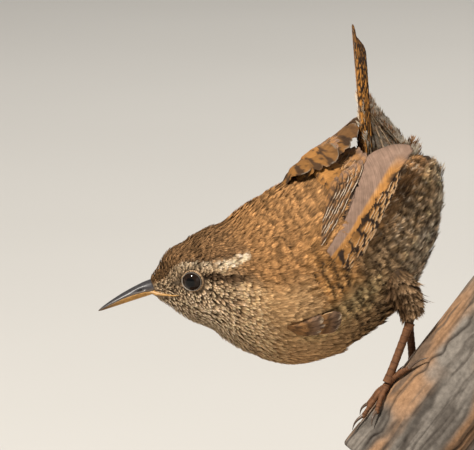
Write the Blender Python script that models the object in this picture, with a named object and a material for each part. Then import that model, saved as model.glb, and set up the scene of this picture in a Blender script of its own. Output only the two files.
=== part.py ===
# Wren at life size, clinging to a cut length of trunk on a plain display stand
#
# The bird is laid out in its side view, in millimetres: across to the right, up, and near
# towards the viewer. That view leans back by VIEW_TILT when it is set into the world.
import math
import random

import bmesh
import bpy
import numpy as np

# Frame of the side view
MM = 0.001
GAP = 0.3
SHARP_ANGLE = math.radians(35.0)
VIEW_TILT = math.radians(10.0)
STAND_CENTRE = (20.0, -0.5)
FLOOR_DROP = 66.0

# Lie of the body: its left side faces the viewer, with the back rolled towards them
LEFT = np.array((0.247, -0.337, 0.9085))
YAW_SLOPE = 0.105
YAW_CENTRE = 8.0
ROUNDNESS = 2.15

# Body from bill root to rump: across, up, half height, half width, lean of the section in degrees
BODY = np.array((
    (-17.75, -12.85, 1.60, 1.50, 20.0),
    (-15.10, -12.70, 4.15, 3.40, 20.0),
    (-12.05, -12.50, 7.70, 6.00, 20.0),
    (-8.15, -12.45, 10.00, 8.20, 20.0),
    (-3.05, -13.65, 13.70, 10.80, 22.0),
    (2.65, -14.15, 16.45, 13.20, 26.0),
    (9.80, -11.70, 18.25, 15.30, 29.0),
    (16.50, -7.55, 18.15, 15.90, 32.0),
    (23.05, -3.05, 17.10, 15.20, 36.0),
    (28.75, 2.05, 14.70, 13.20, 40.0),
    (33.25, 6.55, 11.20, 9.90, 45.0),
    (36.50, 10.60, 7.30, 6.30, 50.0),
    (38.35, 12.65, 4.10, 3.60, 52.0),
    (39.40, 13.90, 1.20, 1.10, 52.0),
))

# Where the body is parted, as lengths along it
HEAD_END = 12.5
NECK_END = 18.5
TORSO_END = 50.0
RING_STEP = 2.2
RING_SIDES = 28

# Head
HEAD_RINGS = 10
MOUTH_ANGLE = math.radians(-14.0)
MOUTH_LENGTH = 4.2
MOUTH_DEPTH = 0.32
MOUTH_SPREAD = math.radians(5.0)
MOUTH_CLEAR = math.radians(4.0)
EYE_ALONG = 8.0
EYE_ANGLE = math.radians(22.5)
EYE_RADIUS = 2.3
EYE_SINK = 1.5
LID_RADIUS = 2.2
LID_THICKNESS = 0.34
LID_STEPS = 14
LID_SIDES = 5
SOCKET_SIDES = 12
SOCKET_ROWS = 7

# Bill
BILL_LENGTH = 11.1
BILL_DROOP = math.radians(20.5)
BILL_CURVE = 0.7
BILL_HALF_WIDTH = 1.45
UPPER_HEIGHT = 1.55
LOWER_HEIGHT = 1.0
BILL_RINGS = 9
BILL_SIDES = 9
BILL_TIP = 0.2
BILL_WIDTH_TAPER = 0.85
BILL_DEPTH_TAPER = 1.4
# Nostrils: place along the bill, outward share of its half width, height, and half sizes
NOSTRIL_SHARE = 0.13
NOSTRIL_OUT = 0.93
NOSTRIL_RISE = 0.62
NOSTRIL_SIZE = (0.75, 0.2, 0.45)

# Tail, cocked up in the body's middle plane: a stack of vanes, the middle pair on its back
TAIL_ROOT = np.array((26.3, 10.2, 0.5))
TAIL_AIM = np.array((-0.065, 0.930, 0.363))
TAIL_LENGTH = 32.5
TAIL_PAIRS = 6
TAIL_VANE_WIDTH = 4.2
TAIL_STEP = 0.15
TAIL_FAN = math.radians(0.4)
TAIL_OFFSET = 0.5
TAIL_SPREAD = 0.15
TAIL_GRADING = 0.006
TAIL_LEFT_SHORTER = 1.2
# Coverts under the tail: count, start, distance out at their roots and tips, length, width
UNDERTAIL_ROWS = ((3, 1.0, 1.2, 1.1, 17.0, 3.6), (3, 1.6, 3.6, 1.2, 15.5, 3.8),
                  (3, 2.4, 6.2, 1.4, 14.0, 4.0), (3, 3.6, 9.0, 1.7, 12.0, 4.2))
UNDERTAIL_SPREAD = 2.2
UNDERTAIL_CURL = 0.45
UNDERTAIL_TURN = 0.03
UNDERTAIL_SHORTER = 0.12
# Coverts over the tail: count, spread, layer, turn, length, how much shorter the outer ones are, width
UPPERTAIL = (3, 1.6, 0.4, 0.04, 10.0, 2.0, 3.2)
COVERT_START = 1.0

# Folded wings, laid out flat and wrapped round the body
WING_CLEARANCE = 0.35
WING_RADIUS = 16.5
WING_REACH = 52.0
VANE_THICKNESS = 0.5
VANE_TILT = 0.2
VANE_CROWN = 0.1
VANE_ROWS = {"primary": 5, "secondary": 5, "rectrix": 6, "undertail": 5}
SHORT_VANE_ROWS = 4
VANE_BOW = 0.035
VANE_THINNING = 0.45
# Outline of a vane: width at its root, where it is full, where its tip starts, roundness and end
VANE_SHAPE = (0.45, 0.4, 0.72, 2.4, 0.16)

# Feathers of a folded wing: name, count, roots from first to last, tips from first by a guide
# point to last, widths and lifts of first and last. Places are lengths along the body and arcs
# up its side.
WING_FEATHERS = (
    ("primary", 10, (35.0, 1.6), (27.5, 1.6), (46.7, 8.0), (67.5, 13.6), (59.5, 18.2),
     (3.0, 4.4), (0.0, 0.4)),
    ("secondary", 5, (27.5, 1.0), (29.5, 9.5), (58.4, 18.3), (57.0, 19.6), (54.0, 21.2),
     (5.0, 5.4), (0.40, 0.50)),
    ("tertial", 3, (30.5, 11.0), (32.5, 15.0), (53.0, 22.2), (51.0, 23.2), (46.5, 24.0),
     (5.0, 5.2), (0.55, 0.65)),
    ("primary_covert", 4, (26.0, -2.6), (25.5, 0.2), (36.4, -0.2), (37.6, 1.0), (38.4, 3.4),
     (3.0, 3.4), (0.45, 0.60)),
    ("greater_covert", 4, (25.5, 1.5), (28.0, 10.5), (37.6, 5.0), (37.0, 9.0), (38.0, 13.5),
     (4.2, 4.6), (0.70, 0.90)),
    ("alula", 3, (22.6, -3.0), (23.0, -1.2), (30.6, -5.2), (31.8, -4.2), (32.4, -2.4),
     (2.2, 2.6), (0.75, 0.95)),
    ("median_covert", 5, (21.0, -1.5), (23.5, 9.5), (30.0, 1.0), (30.0, 6.0), (31.0, 12.5),
     (4.0, 4.4), (1.00, 1.10)),
)

CROWNED_VANES = ("tertial",)

# How each wing is held: shift of its tip along the body, how far it stands off there, and how
# much lower its front hangs, each with the length where it starts and the length over which it grows
WING_HOLD = {"left": (0.0, 0.0, 0.0), "right": (-0.8, 2.6, 5.0)}
TIP_SHIFT = (34.0, 25.0)
STAND_OFF = (39.0, 13.0)
DROOP = (22.0, 30.0)
TIP_UNEVEN = 0.3

# Legs
TOE_RADIUS = 0.62
TOE_SIDES = 6
TOE_ARCH = 0.35
CLAW_RADIUS = 0.42
CLAW_HOOK = 0.55
CLAW_REST = 0.15
ANKLE_RADIUS = 1.0
ANKLE_HEIGHT = GAP + TOE_RADIUS + 0.42
TARSUS_RADIUS = 0.85
TARSUS_FLARE = 0.25
LEG_SIDES = 10
THIGH_SIDES = 12
THIGH_RADII = (3.0, 3.3, 3.1, 2.4, 1.4)
THIGH_SWELL = 2.0
# Each leg: heel, foot on the perch as length and degrees, thigh's root, and its toes' spread
LEGS = {
    "left": ((34.9, -20.4, 5.6), (-1.4, 17.0), (31.5, -9.0, 6.5), 1),
    "right": ((35.3, -19.6, -6.8), (5.0, -36.0), (31.0, -8.5, -8.5), -1),
}
# Toes: name, turn from the perch's run in degrees, length, claw length
TOES = (("inner", 205.0, 7.0, 3.0), ("middle", 180.0, 9.0, 3.4), ("outer", 152.0, 7.5, 3.0),
        ("hind", 32.0, 6.0, 4.6))

# Perch: a length of trunk that leans to the right under the feet
PERCH_TOP = np.array((32.0, -31.0, 1.0))
PERCH_LEAN = math.radians(52.0)
PERCH_RADIUS = 12.0
PERCH_LOW_END = -17.0
PERCH_HIGH_END = 27.0
PERCH_RINGS = 10
PERCH_SIDES = 24
PERCH_FURROW = 0.45
PERCH_ROUGHNESS = 0.12

# Stand
BASE_SIZE = (108.0, 66.0, 5.0)
BASE_CORNER = 6.0
BASE_EDGE = 1.0
ROD_RADIUS = 2.6
ROD_SIDES = 16
ROD_DEPTH = -1.0
ROD_HEIGHT = 40.0
ROD_PLACES = ((45.5, "stand_rod_front"), (58.0, "stand_rod_rear"))


def unit(vector):
    return vector / np.linalg.norm(vector)


def to_world(points):
    """Side view millimetres to world metres."""
    across, up, near = np.asarray(points, dtype=float).T
    depth = up * math.sin(VIEW_TILT) - near * math.cos(VIEW_TILT)
    height = up * math.cos(VIEW_TILT) + near * math.sin(VIEW_TILT)
    shifted = (across - STAND_CENTRE[0], depth - STAND_CENTRE[1], height + FLOOR_DROP)
    return np.stack(shifted, axis=1) * MM


def clear_scene():
    for thing in list(bpy.data.objects):
        bpy.data.objects.remove(thing, do_unlink=True)


def material(name, colour, roughness, metallic=0.0):
    made = bpy.data.materials.get(name)
    if made:
        return made
    made = bpy.data.materials.new(name)
    made.use_nodes = True
    shader = made.node_tree.nodes["Principled BSDF"]
    shader.inputs["Base Color"].default_value = (*colour, 1.0)
    shader.inputs["Roughness"].default_value = roughness
    shader.inputs["Metallic"].default_value = metallic
    return made


PLUMAGE = ("plumage", (0.33, 0.21, 0.12), 0.85)
PALE_PLUMAGE = ("pale_plumage", (0.52, 0.42, 0.30), 0.85)
FLIGHT = ("flight_feathers", (0.27, 0.16, 0.09), 0.7)
UPPER_HORN = ("dark_horn", (0.06, 0.055, 0.055), 0.35)
LOWER_HORN = ("pale_horn", (0.45, 0.27, 0.10), 0.4)
EYE_BLACK = ("eye", (0.012, 0.008, 0.006), 0.05)
LEG_SKIN = ("leg", (0.30, 0.16, 0.10), 0.5)
WOOD = ("weathered_wood", (0.28, 0.26, 0.23), 0.85)
STAND_WOOD = ("stand_wood", (0.16, 0.10, 0.06), 0.4)
STAND_METAL = ("stand_rod", (0.5, 0.5, 0.48), 0.35, 1.0)


def solid(name, points, faces, look):
    """Closed mesh object from side view points and triangles."""
    mesh = bpy.data.meshes.new(name)
    mesh.from_pydata([tuple(p) for p in to_world(points)], [], [tuple(int(i) for i in f) for f in faces])
    mesh.materials.append(material(*look))
    made = bpy.data.objects.new(name, mesh)
    bpy.context.collection.objects.link(made)
    shape = bmesh.new()
    shape.from_mesh(mesh)
    bmesh.ops.recalc_face_normals(shape, faces=shape.faces)
    if shape.calc_volume(signed=True) < 0:
        bmesh.ops.reverse_faces(shape, faces=shape.faces)
    shape.to_mesh(mesh)
    shape.free()
    return made


def loft(name, rings, look):
    """Closed solid through rings of points, with a fan over each end."""
    rings = np.asarray(rings)
    count, sides = rings.shape[:2]
    ends = np.stack((rings[0].mean(axis=0), rings[-1].mean(axis=0)))
    points = np.concatenate((rings.reshape(-1, 3), ends))
    first_end = count * sides
    faces = []
    for row in range(count - 1):
        for side in range(sides):
            a = row * sides + side
            b = row * sides + (side + 1) % sides
            faces.append((a, b, b + sides))
            faces.append((a, b + sides, a + sides))
    last = (count - 1) * sides
    for side in range(sides):
        following = (side + 1) % sides
        faces.append((first_end, following, side))
        faces.append((first_end + 1, last + side, last + following))
    return solid(name, points, faces, look)


def plate(name, outer, inner, look):
    """Closed thin plate from two grids of points, split alike on both faces."""
    rows, columns = outer.shape[:2]
    size = rows * columns
    points = np.concatenate((outer.reshape(-1, 3), inner.reshape(-1, 3)))
    faces = []
    for row in range(rows - 1):
        for column in range(columns - 1):
            a = row * columns + column
            b = a + columns
            faces.append((a, b, b + 1))
            faces.append((a, b + 1, a + 1))
            faces.append((a + size, b + 1 + size, b + size))
            faces.append((a + size, a + 1 + size, b + 1 + size))
    rim = list(range(columns))
    rim += [row * columns + columns - 1 for row in range(1, rows)]
    rim += [(rows - 1) * columns + column for column in range(columns - 2, -1, -1)]
    rim += [row * columns for row in range(rows - 2, 0, -1)]
    for here, following in zip(rim, rim[1:] + rim[:1]):
        faces.append((here, following, following + size))
        faces.append((here, following + size, here + size))
    return solid(name, points, faces, look)


def join(target, others, operation="UNION", solver="EXACT"):
    """Fuse or cut a solid by a collection of solids, applied, keeping its largest closed surface."""
    group = bpy.data.collections.new(target.name + "_tools")
    for other in others:
        for holder in list(other.users_collection):
            holder.objects.unlink(other)
        group.objects.link(other)
    step = target.modifiers.new("join", "BOOLEAN")
    step.operation = operation
    step.solver = solver
    step.operand_type = "COLLECTION"
    step.collection = group
    graph = bpy.context.evaluated_depsgraph_get()
    graph.update()
    result = bpy.data.meshes.new_from_object(target.evaluated_get(graph))
    target.modifiers.clear()
    target.data = result
    for other in others:
        bpy.data.objects.remove(other, do_unlink=True)
    bpy.data.collections.remove(group)
    keep_largest(target)
    return target


def keep_largest(target):
    """Drop all but the largest closed surface, and split every face into triangles."""
    shape = bmesh.new()
    shape.from_mesh(target.data)
    bmesh.ops.triangulate(shape, faces=shape.faces)
    waiting = set(shape.faces)
    pieces = []
    while waiting:
        piece = [waiting.pop()]
        for face in piece:
            for edge in face.edges:
                for other in edge.link_faces:
                    if other in waiting:
                        waiting.remove(other)
                        piece.append(other)
        pieces.append(piece)
    pieces.sort(key=piece_volume, reverse=True)
    spare = [face for piece in pieces[1:] for face in piece]
    bmesh.ops.delete(shape, geom=spare, context="FACES")
    shape.to_mesh(target.data)
    shape.free()


def piece_volume(piece):
    """Six times the volume inside a piece of triangles."""
    return sum(a.co.dot(b.co.cross(c.co)) for a, b, c in (face.verts for face in piece))


# The body's own lengths and slopes along its stations
STEPS = np.linalg.norm(np.diff(BODY[:, :2], axis=0), axis=1)
KNOTS = np.concatenate(((0.0,), np.cumsum(STEPS)))
SLOPES = np.gradient(BODY, KNOTS, axis=0)
BODY_LENGTH = KNOTS[-1]


def body_sizes(along):
    """Smooth station at a length along the body; past the rump it carries on straight."""
    inside = min(max(along, 0.0), BODY_LENGTH)
    cell = min(int(np.searchsorted(KNOTS, inside, side="right")) - 1, len(KNOTS) - 2)
    width = KNOTS[cell + 1] - KNOTS[cell]
    t = (inside - KNOTS[cell]) / width
    start, end = BODY[cell], BODY[cell + 1]
    leave, arrive = SLOPES[cell] * width, SLOPES[cell + 1] * width
    return ((2 * t ** 3 - 3 * t ** 2 + 1) * start + (t ** 3 - 2 * t ** 2 + t) * leave
            + (3 * t ** 2 - 2 * t ** 3) * end + (t ** 3 - t ** 2) * arrive)


def body_frame(along):
    """Centre of a section with its tailward, left and back directions, half height and half width."""
    across, up, half_height, half_width, lean = body_sizes(along)
    lean = math.radians(lean)
    centre = np.array((across, up, (YAW_CENTRE - across) * YAW_SLOPE))
    tailward = unit(np.array((math.cos(lean), math.sin(lean), -YAW_SLOPE)))
    left = unit(LEFT - LEFT.dot(tailward) * tailward)
    back = np.cross(left, tailward)
    return centre, tailward, left, back, half_height, half_width


def rounded(value):
    return math.copysign(abs(value) ** (2.0 / ROUNDNESS), value)


def body_point(along, angle, grow=0.0):
    """Point on the body: angle 0 is its left, 90 degrees its back."""
    centre, _, left, back, half_height, half_width = body_frame(along)
    return (centre + left * (half_width + grow) * rounded(math.cos(angle))
            + back * (half_height + grow) * rounded(math.sin(angle)))


def body_normal(along, angle):
    step = 0.05
    turn = 0.01
    run = body_point(along + step, angle) - body_point(along - step, angle)
    sweep = body_point(along, angle + turn) - body_point(along, angle - turn)
    normal = unit(np.cross(sweep, run))
    outward = body_point(along, angle) - body_frame(along)[0]
    return normal if normal.dot(outward) > 0 else -normal


def body_length(name, start, end, grow, look):
    """One length of the body, cut square to its run."""
    count = max(3, int(round((end - start) / RING_STEP)) + 1)
    angles = np.linspace(0.0, 2 * math.pi, RING_SIDES, endpoint=False)
    rings = [[body_point(along, angle, grow) for angle in angles]
             for along in np.linspace(start, end, count)]
    return loft(name, rings, look)


def apart(angle, other):
    return abs(math.remainder(angle - other, 2 * math.pi))


def head_rings():
    """Head rings with the line of the mouth pressed into both sides."""
    mouth = (MOUTH_ANGLE, math.pi - MOUTH_ANGLE)
    extra = [middle + k * MOUTH_SPREAD for middle in mouth for k in (-1, 0, 1)]
    plain = [angle for angle in np.linspace(0.0, 2 * math.pi, RING_SIDES, endpoint=False)
             if all(apart(angle, other) > MOUTH_CLEAR for other in extra)]
    angles = sorted(angle % (2 * math.pi) for angle in plain + extra)
    rings = []
    for along in np.linspace(0.0, HEAD_END - GAP / 2, HEAD_RINGS):
        groove = MOUTH_DEPTH * min(1.0, max(0.0, 2.0 * (1.0 - along / MOUTH_LENGTH)))
        rings.append([body_point(along, angle, -groove * (min(apart(angle, m) for m in mouth) < 1e-6))
                      for angle in angles])
    return rings


def ball(name, centre, radius, look, sides=16, rows=10):
    rings = []
    for row in range(1, rows):
        polar = math.pi * row / rows
        turn = np.linspace(0.0, 2 * math.pi, sides, endpoint=False)
        ring = np.stack((np.cos(turn) * math.sin(polar), np.sin(turn) * math.sin(polar),
                         np.full(sides, math.cos(polar))), axis=1)
        rings.append(centre + ring * radius)
    return loft(name, rings, look)


def cross_axes(aim):
    helper = np.array((0.0, 1.0, 0.0)) if abs(aim[1]) < 0.9 else np.array((1.0, 0.0, 0.0))
    first = unit(np.cross(aim, helper))
    return first, np.cross(aim, first)


def lid_ring(name, centre, normal):
    """Ring of the eyelids, round the eye's opening."""
    first, second = cross_axes(normal)
    rings = []
    for turn in np.linspace(0.0, 2 * math.pi, LID_STEPS, endpoint=False):
        out = first * math.cos(turn) + second * math.sin(turn)
        middle = centre + out * LID_RADIUS
        rings.append([middle + (out * math.cos(a) + normal * math.sin(a)) * LID_THICKNESS
                      for a in np.linspace(0.0, 2 * math.pi, LID_SIDES, endpoint=False)])
    rings = np.array(rings)
    count, sides = rings.shape[:2]
    faces = []
    for row in range(count):
        for side in range(sides):
            a = row * sides + side
            b = row * sides + (side + 1) % sides
            c = ((row + 1) % count) * sides
            faces.append((a, b, c + (side + 1) % sides))
            faces.append((a, c + (side + 1) % sides, c + side))
    return solid(name, rings.reshape(-1, 3), faces, PLUMAGE)


def eye_places():
    """Name, surface point and outward direction of each eye."""
    for side, angle in (("left", EYE_ANGLE), ("right", math.pi - EYE_ANGLE)):
        yield side, body_point(EYE_ALONG, angle), body_normal(EYE_ALONG, angle)


def make_head():
    head = loft("head", head_rings(), PLUMAGE)
    lids = [lid_ring("lid_" + side, place, normal) for side, place, normal in eye_places()]
    join(head, lids)
    sockets = [ball("socket_" + side, place - normal * EYE_SINK, EYE_RADIUS + GAP, PLUMAGE,
                    SOCKET_SIDES, SOCKET_ROWS)
               for side, place, normal in eye_places()]
    join(head, sockets, "DIFFERENCE")
    for side, place, normal in eye_places():
        ball("eye_" + side, place - normal * EYE_SINK, EYE_RADIUS, EYE_BLACK)


def bill_frame(share):
    """Centre line of the bill at a share of its length, with its sideways and upward directions."""
    root, _, left, _, _, _ = body_frame(0.0)
    aim = unit(np.array((-math.cos(BILL_DROOP), -math.sin(BILL_DROOP), YAW_SLOPE)))
    side = unit(left - left.dot(aim) * aim)
    up = np.cross(aim, side)
    if up[1] < 0:
        up = -up
    centre = root + aim * (GAP + share * BILL_LENGTH) - up * BILL_CURVE * share ** 2
    return centre, side, up


def mandible(name, height, start, end, look):
    """Half of the bill: a D section that narrows to the tip."""
    rings = []
    for share in np.linspace(0.0, 1.0, BILL_RINGS):
        centre, side, up = bill_frame(share)
        half_width = BILL_HALF_WIDTH * (1.0 - share) ** BILL_WIDTH_TAPER + BILL_TIP
        tall = abs(height) * (1.0 - share ** BILL_DEPTH_TAPER) + BILL_TIP
        base = centre + up * math.copysign(GAP / 2, height)
        rings.append([base + side * half_width * math.cos(a) + up * tall * math.sin(a)
                      for a in np.linspace(start, end, BILL_SIDES)])
    return loft(name, rings, look)


def make_bill():
    upper = mandible("bill_upper", UPPER_HEIGHT, 0.0, math.pi, UPPER_HORN)
    mandible("bill_lower", -LOWER_HEIGHT, 0.0, -math.pi, LOWER_HORN)
    centre, side, up = bill_frame(NOSTRIL_SHARE)
    run = bill_frame(NOSTRIL_SHARE + 0.1)[0] - centre
    slits = []
    for sign in (1, -1):
        middle = centre + side * sign * BILL_HALF_WIDTH * NOSTRIL_OUT + up * NOSTRIL_RISE
        slit = ball("nostril", np.zeros(3), 1.0, UPPER_HORN, 10, 6)
        shape_slit(slit, middle, run, up)
        slits.append(slit)
    join(upper, slits, "DIFFERENCE")


def shape_slit(slit, middle, run, up):
    """Turn a unit ball into a nostril slit: long along the bill, low, and shallow."""
    run = unit(run)
    across = np.cross(run, up)
    origin = to_world(np.zeros((1, 3)))[0]
    turn = to_world(np.eye(3)) - origin
    axes = np.array((run, up, across)) * np.array(NOSTRIL_SIZE)[:, None]
    for vert in slit.data.vertices:
        local = np.linalg.solve(turn.T, np.array(vert.co) - origin)
        vert.co = to_world((middle + local @ axes)[None])[0]


def make_body():
    body_length("neck", HEAD_END + GAP / 2, NECK_END - GAP / 2, 0.0, PLUMAGE)
    body_length("torso", NECK_END + GAP / 2, TORSO_END - GAP / 2, 0.0, PLUMAGE)
    body_length("rump", TORSO_END + GAP / 2, BODY_LENGTH, 0.0, PALE_PLUMAGE)


def grown_body(grow=GAP):
    """Slightly larger copy of the whole body, to cut what grows from it."""
    return body_length("cutter", NECK_END - 4.0, BODY_LENGTH + 0.2, grow, PLUMAGE)


def cut_clear(target, cutters):
    join(target, cutters, "DIFFERENCE", "MANIFOLD")


def vane_outline(share):
    """Half width of a feather as a share of its full one: narrow root, even run, rounded tip."""
    root_width, full, tip_start, tip_round, end_width = VANE_SHAPE
    root = root_width + (1.0 - root_width) * math.sin(math.pi / 2 * min(1.0, share / full))
    gone = max(0.0, (share - tip_start) / (1.0 - tip_start))
    return root * max(math.sqrt(max(0.0, 1.0 - gone ** tip_round)), end_width)


def vane(name, place, width):
    """Closed vane, flat or crowned along its shaft; place(share, offset, lift) gives its points."""
    rows = VANE_ROWS.get(name, SHORT_VANE_ROWS)
    shares = 1.0 - (1.0 - np.linspace(0.0, 1.0, rows)) ** 1.5
    lines = (-1, 0, 1) if name in CROWNED_VANES else (-1, 1)
    outer, inner = [], []
    for share in shares:
        half = width / 2 * vane_outline(share)
        thick = VANE_THICKNESS * (1.0 - VANE_THINNING * share ** 3)
        crown = [VANE_CROWN * (1 - abs(k)) for k in lines]
        outer.append([place(share, half * k, thick + rise) for k, rise in zip(lines, crown)])
        inner.append([place(share, half * k, rise) for k, rise in zip(lines, crown)])
    return plate(name, np.array(outer), np.array(inner), FLIGHT)


def tail_axes():
    aim = unit(TAIL_AIM)
    side = unit(LEFT - LEFT.dot(aim) * aim)
    return aim, side, np.cross(side, aim)


def tail_vane(name, offset, layer, turn, length, width, slope=0.0, start=0.0):
    """Vane of the tail: offset to its left, layer out from its back, turned outward in its plane."""
    aim, side, face = tail_axes()

    def place(share, across, lift):
        reach = length * share
        left = offset + math.sin(turn) * reach + across * math.cos(turn)
        out = layer + lift + slope * reach
        return TAIL_ROOT + aim * (start + math.cos(turn) * reach) + side * left + face * out

    return vane(name, place, width)


def make_tail():
    vanes = []
    for pair in range(TAIL_PAIRS):
        for sign in (1, -1):
            layer = -TAIL_STEP * (pair + 0.5 * (sign < 0))
            length = TAIL_LENGTH * (1.0 - TAIL_GRADING * pair ** 2) - TAIL_LEFT_SHORTER * (sign > 0)
            vanes.append(tail_vane("rectrix", sign * (TAIL_OFFSET + TAIL_SPREAD * pair), layer,
                                   sign * TAIL_FAN * pair, length, TAIL_VANE_WIDTH))
    for count, start, root_out, tip_out, length, width in UNDERTAIL_ROWS:
        for k in range(count):
            spot = 2.0 * k / (count - 1) - 1.0
            layer = -root_out + UNDERTAIL_CURL * spot ** 2
            own_length = length * (1.0 - UNDERTAIL_SHORTER * abs(spot))
            slope = (root_out - tip_out) / own_length
            vanes.append(tail_vane("undertail", spot * UNDERTAIL_SPREAD, layer, -spot * UNDERTAIL_TURN,
                                   own_length, width, slope, start))
    count, spread, layer, turn, length, shorter, width = UPPERTAIL
    for k in range(count):
        spot = 2.0 * k / (count - 1) - 1.0
        vanes.append(tail_vane("uppertail", spot * spread, layer * (1.0 - 0.75 * abs(spot)), spot * turn,
                               length - shorter * abs(spot), width, 0.0, COVERT_START))
    tail = vanes[0]
    tail.name = "tail"
    join(tail, vanes[1:], solver="MANIFOLD")
    cut_clear(tail, [grown_body()])


def grown_share(along, span):
    """How far a length is through a span given by its start and its run, from 0 to 1."""
    return min(1.0, max(0.0, (along - span[0]) / span[1]))


def wing_point(side, along, arc, lift):
    """Point over the body at an arc length up from its side line."""
    _, stand_off, droop = WING_HOLD[side]
    angle = (arc - droop * (1.0 - grown_share(along, DROOP))) / WING_RADIUS
    if side == "right":
        angle = math.pi - angle
    inside = min(along, WING_REACH)
    off = stand_off * grown_share(along, STAND_OFF) ** 1.5
    point = body_point(inside, angle, WING_CLEARANCE + lift + off)
    if along > inside:
        point = point + body_frame(inside)[1] * (along - inside)
    return point


def local_radius(along):
    sizes = body_sizes(min(along, WING_REACH))
    return (sizes[2] + sizes[3]) / 2


def wing_vane(side, name, root, tip, width, lift):
    """Vane of the wing: its lower edge stands over the next one below, its upper edge is tucked in."""
    tip = (tip[0] + WING_HOLD[side][0] * grown_share(tip[0], TIP_SHIFT), tip[1])
    run = (tip[0] - root[0], tip[1] - root[1])
    reach = math.hypot(*run)

    def place(share, across, rise):
        sag = -VANE_BOW * reach * math.sin(math.pi * share)
        along = root[0] + run[0] * share - (sag + across) * run[1] / reach
        squeeze = WING_RADIUS / local_radius(along)
        arc = root[1] + run[1] * share + (sag + across * squeeze) * run[0] / reach
        return wing_point(side, along, arc, lift + rise + VANE_TILT * (width / 2 - across))

    return vane(name, place, width)


def guided(start, guide, end, share):
    """Point on the curve from start to end that is drawn towards guide."""
    keep = 1.0 - share
    return tuple(keep * keep * a + 2 * keep * share * b + share * share * c
                 for a, b, c in zip(start, guide, end))


def make_wing(side):
    draw = random.Random(3)
    vanes = []
    for name, count, first, last, tip, guide, tip_last, widths, lifts in WING_FEATHERS:
        for k in range(count):
            share = k / (count - 1)
            root = tuple(a + (b - a) * share for a, b in zip(first, last))
            end = guided(tip, guide, tip_last, share)
            end = (end[0] + draw.uniform(-TIP_UNEVEN, TIP_UNEVEN), end[1])
            vanes.append(wing_vane(side, name, root, end,
                                   widths[0] + (widths[1] - widths[0]) * share,
                                   lifts[0] + (lifts[1] - lifts[0]) * share))
    wing = vanes[0]
    wing.name = "wing_" + side
    join(wing, vanes[1:], solver="MANIFOLD")
    cut_clear(wing, [grown_body()])


def perch_axes():
    run = unit(np.array((math.cos(PERCH_LEAN), math.sin(PERCH_LEAN), 0.0)))
    out = np.array((-run[1], run[0], 0.0))
    return run, out, np.array((0.0, 0.0, 1.0))


def perch_point(along, angle, height):
    """Point over the perch: angle 0 is its upper left, 90 degrees towards the viewer."""
    run, out, near = perch_axes()
    centre = PERCH_TOP - out * PERCH_RADIUS + run * along
    return centre + (out * math.cos(angle) + near * math.sin(angle)) * (PERCH_RADIUS + height)


def make_perch(name="perch", grow=0.0):
    draw = random.Random(7)
    rings = []
    furrows = [draw.random() for _ in range(PERCH_SIDES)]
    for along in np.linspace(PERCH_LOW_END, PERCH_HIGH_END, PERCH_RINGS):
        rings.append([perch_point(along, 2 * math.pi * k / PERCH_SIDES,
                                  grow - PERCH_FURROW * furrows[k] - PERCH_ROUGHNESS * draw.random())
                      for k in range(PERCH_SIDES)])
    return loft(name, rings, WOOD)


def tube(name, path, radii, look, sides=10):
    """Round solid along a path of points, its rings turned no more than the path bends."""
    path = np.asarray(path)
    rings = []
    first = None
    for place, middle in enumerate(path):
        before = path[max(place - 1, 0)]
        after = path[min(place + 1, len(path) - 1)]
        aim = unit(after - before)
        first = cross_axes(aim)[0] if first is None else unit(first - first.dot(aim) * aim)
        second = np.cross(aim, first)
        rings.append([middle + (first * math.cos(a) + second * math.sin(a)) * radii[place]
                      for a in np.linspace(0.0, 2 * math.pi, sides, endpoint=False)])
    return loft(name, rings, look)


def toe_path(foot, turn, length, claw):
    """Path of a toe on the perch, and its radii, ending in a hooked claw."""
    heading = math.radians(turn)
    height = GAP + TOE_RADIUS

    def over_perch(step, rise):
        return perch_point(foot[0] + math.cos(heading) * step,
                           math.radians(foot[1]) + math.sin(heading) * step / PERCH_RADIUS, rise)

    path, radii = [], []
    for share in (0.04, 0.3, 0.55, 0.8, 1.0):
        path.append(over_perch(length * share, height + TOE_ARCH * math.sin(math.pi * share)))
        radii.append(TOE_RADIUS * (1.0 - 0.25 * share))
    for share in (0.35, 0.7, 1.0):
        hook = CLAW_HOOK * math.sin(math.pi * share * 0.8) - (TOE_RADIUS - CLAW_REST) * share ** 2
        path.append(over_perch(length + claw * share, height + hook))
        radii.append(CLAW_RADIUS * (1.0 - 0.75 * share))
    return np.array(path), np.array(radii)


def foot_solid(name, place, spread, grow=0.0):
    """Ankle and toes of one foot, fused; grown, it cuts the shank clear of the foot."""
    ankle = perch_point(place[0], math.radians(place[1]), ANKLE_HEIGHT)
    foot = ball(name, ankle, ANKLE_RADIUS + grow, LEG_SKIN, SOCKET_SIDES, SOCKET_ROWS)
    toes = []
    for toe, turn, length, claw in TOES:
        path, radii = toe_path(place, turn * spread, length, claw)
        toes.append(tube(toe, path, radii + grow, LEG_SKIN, TOE_SIDES))
    return join(foot, toes), ankle


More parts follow.
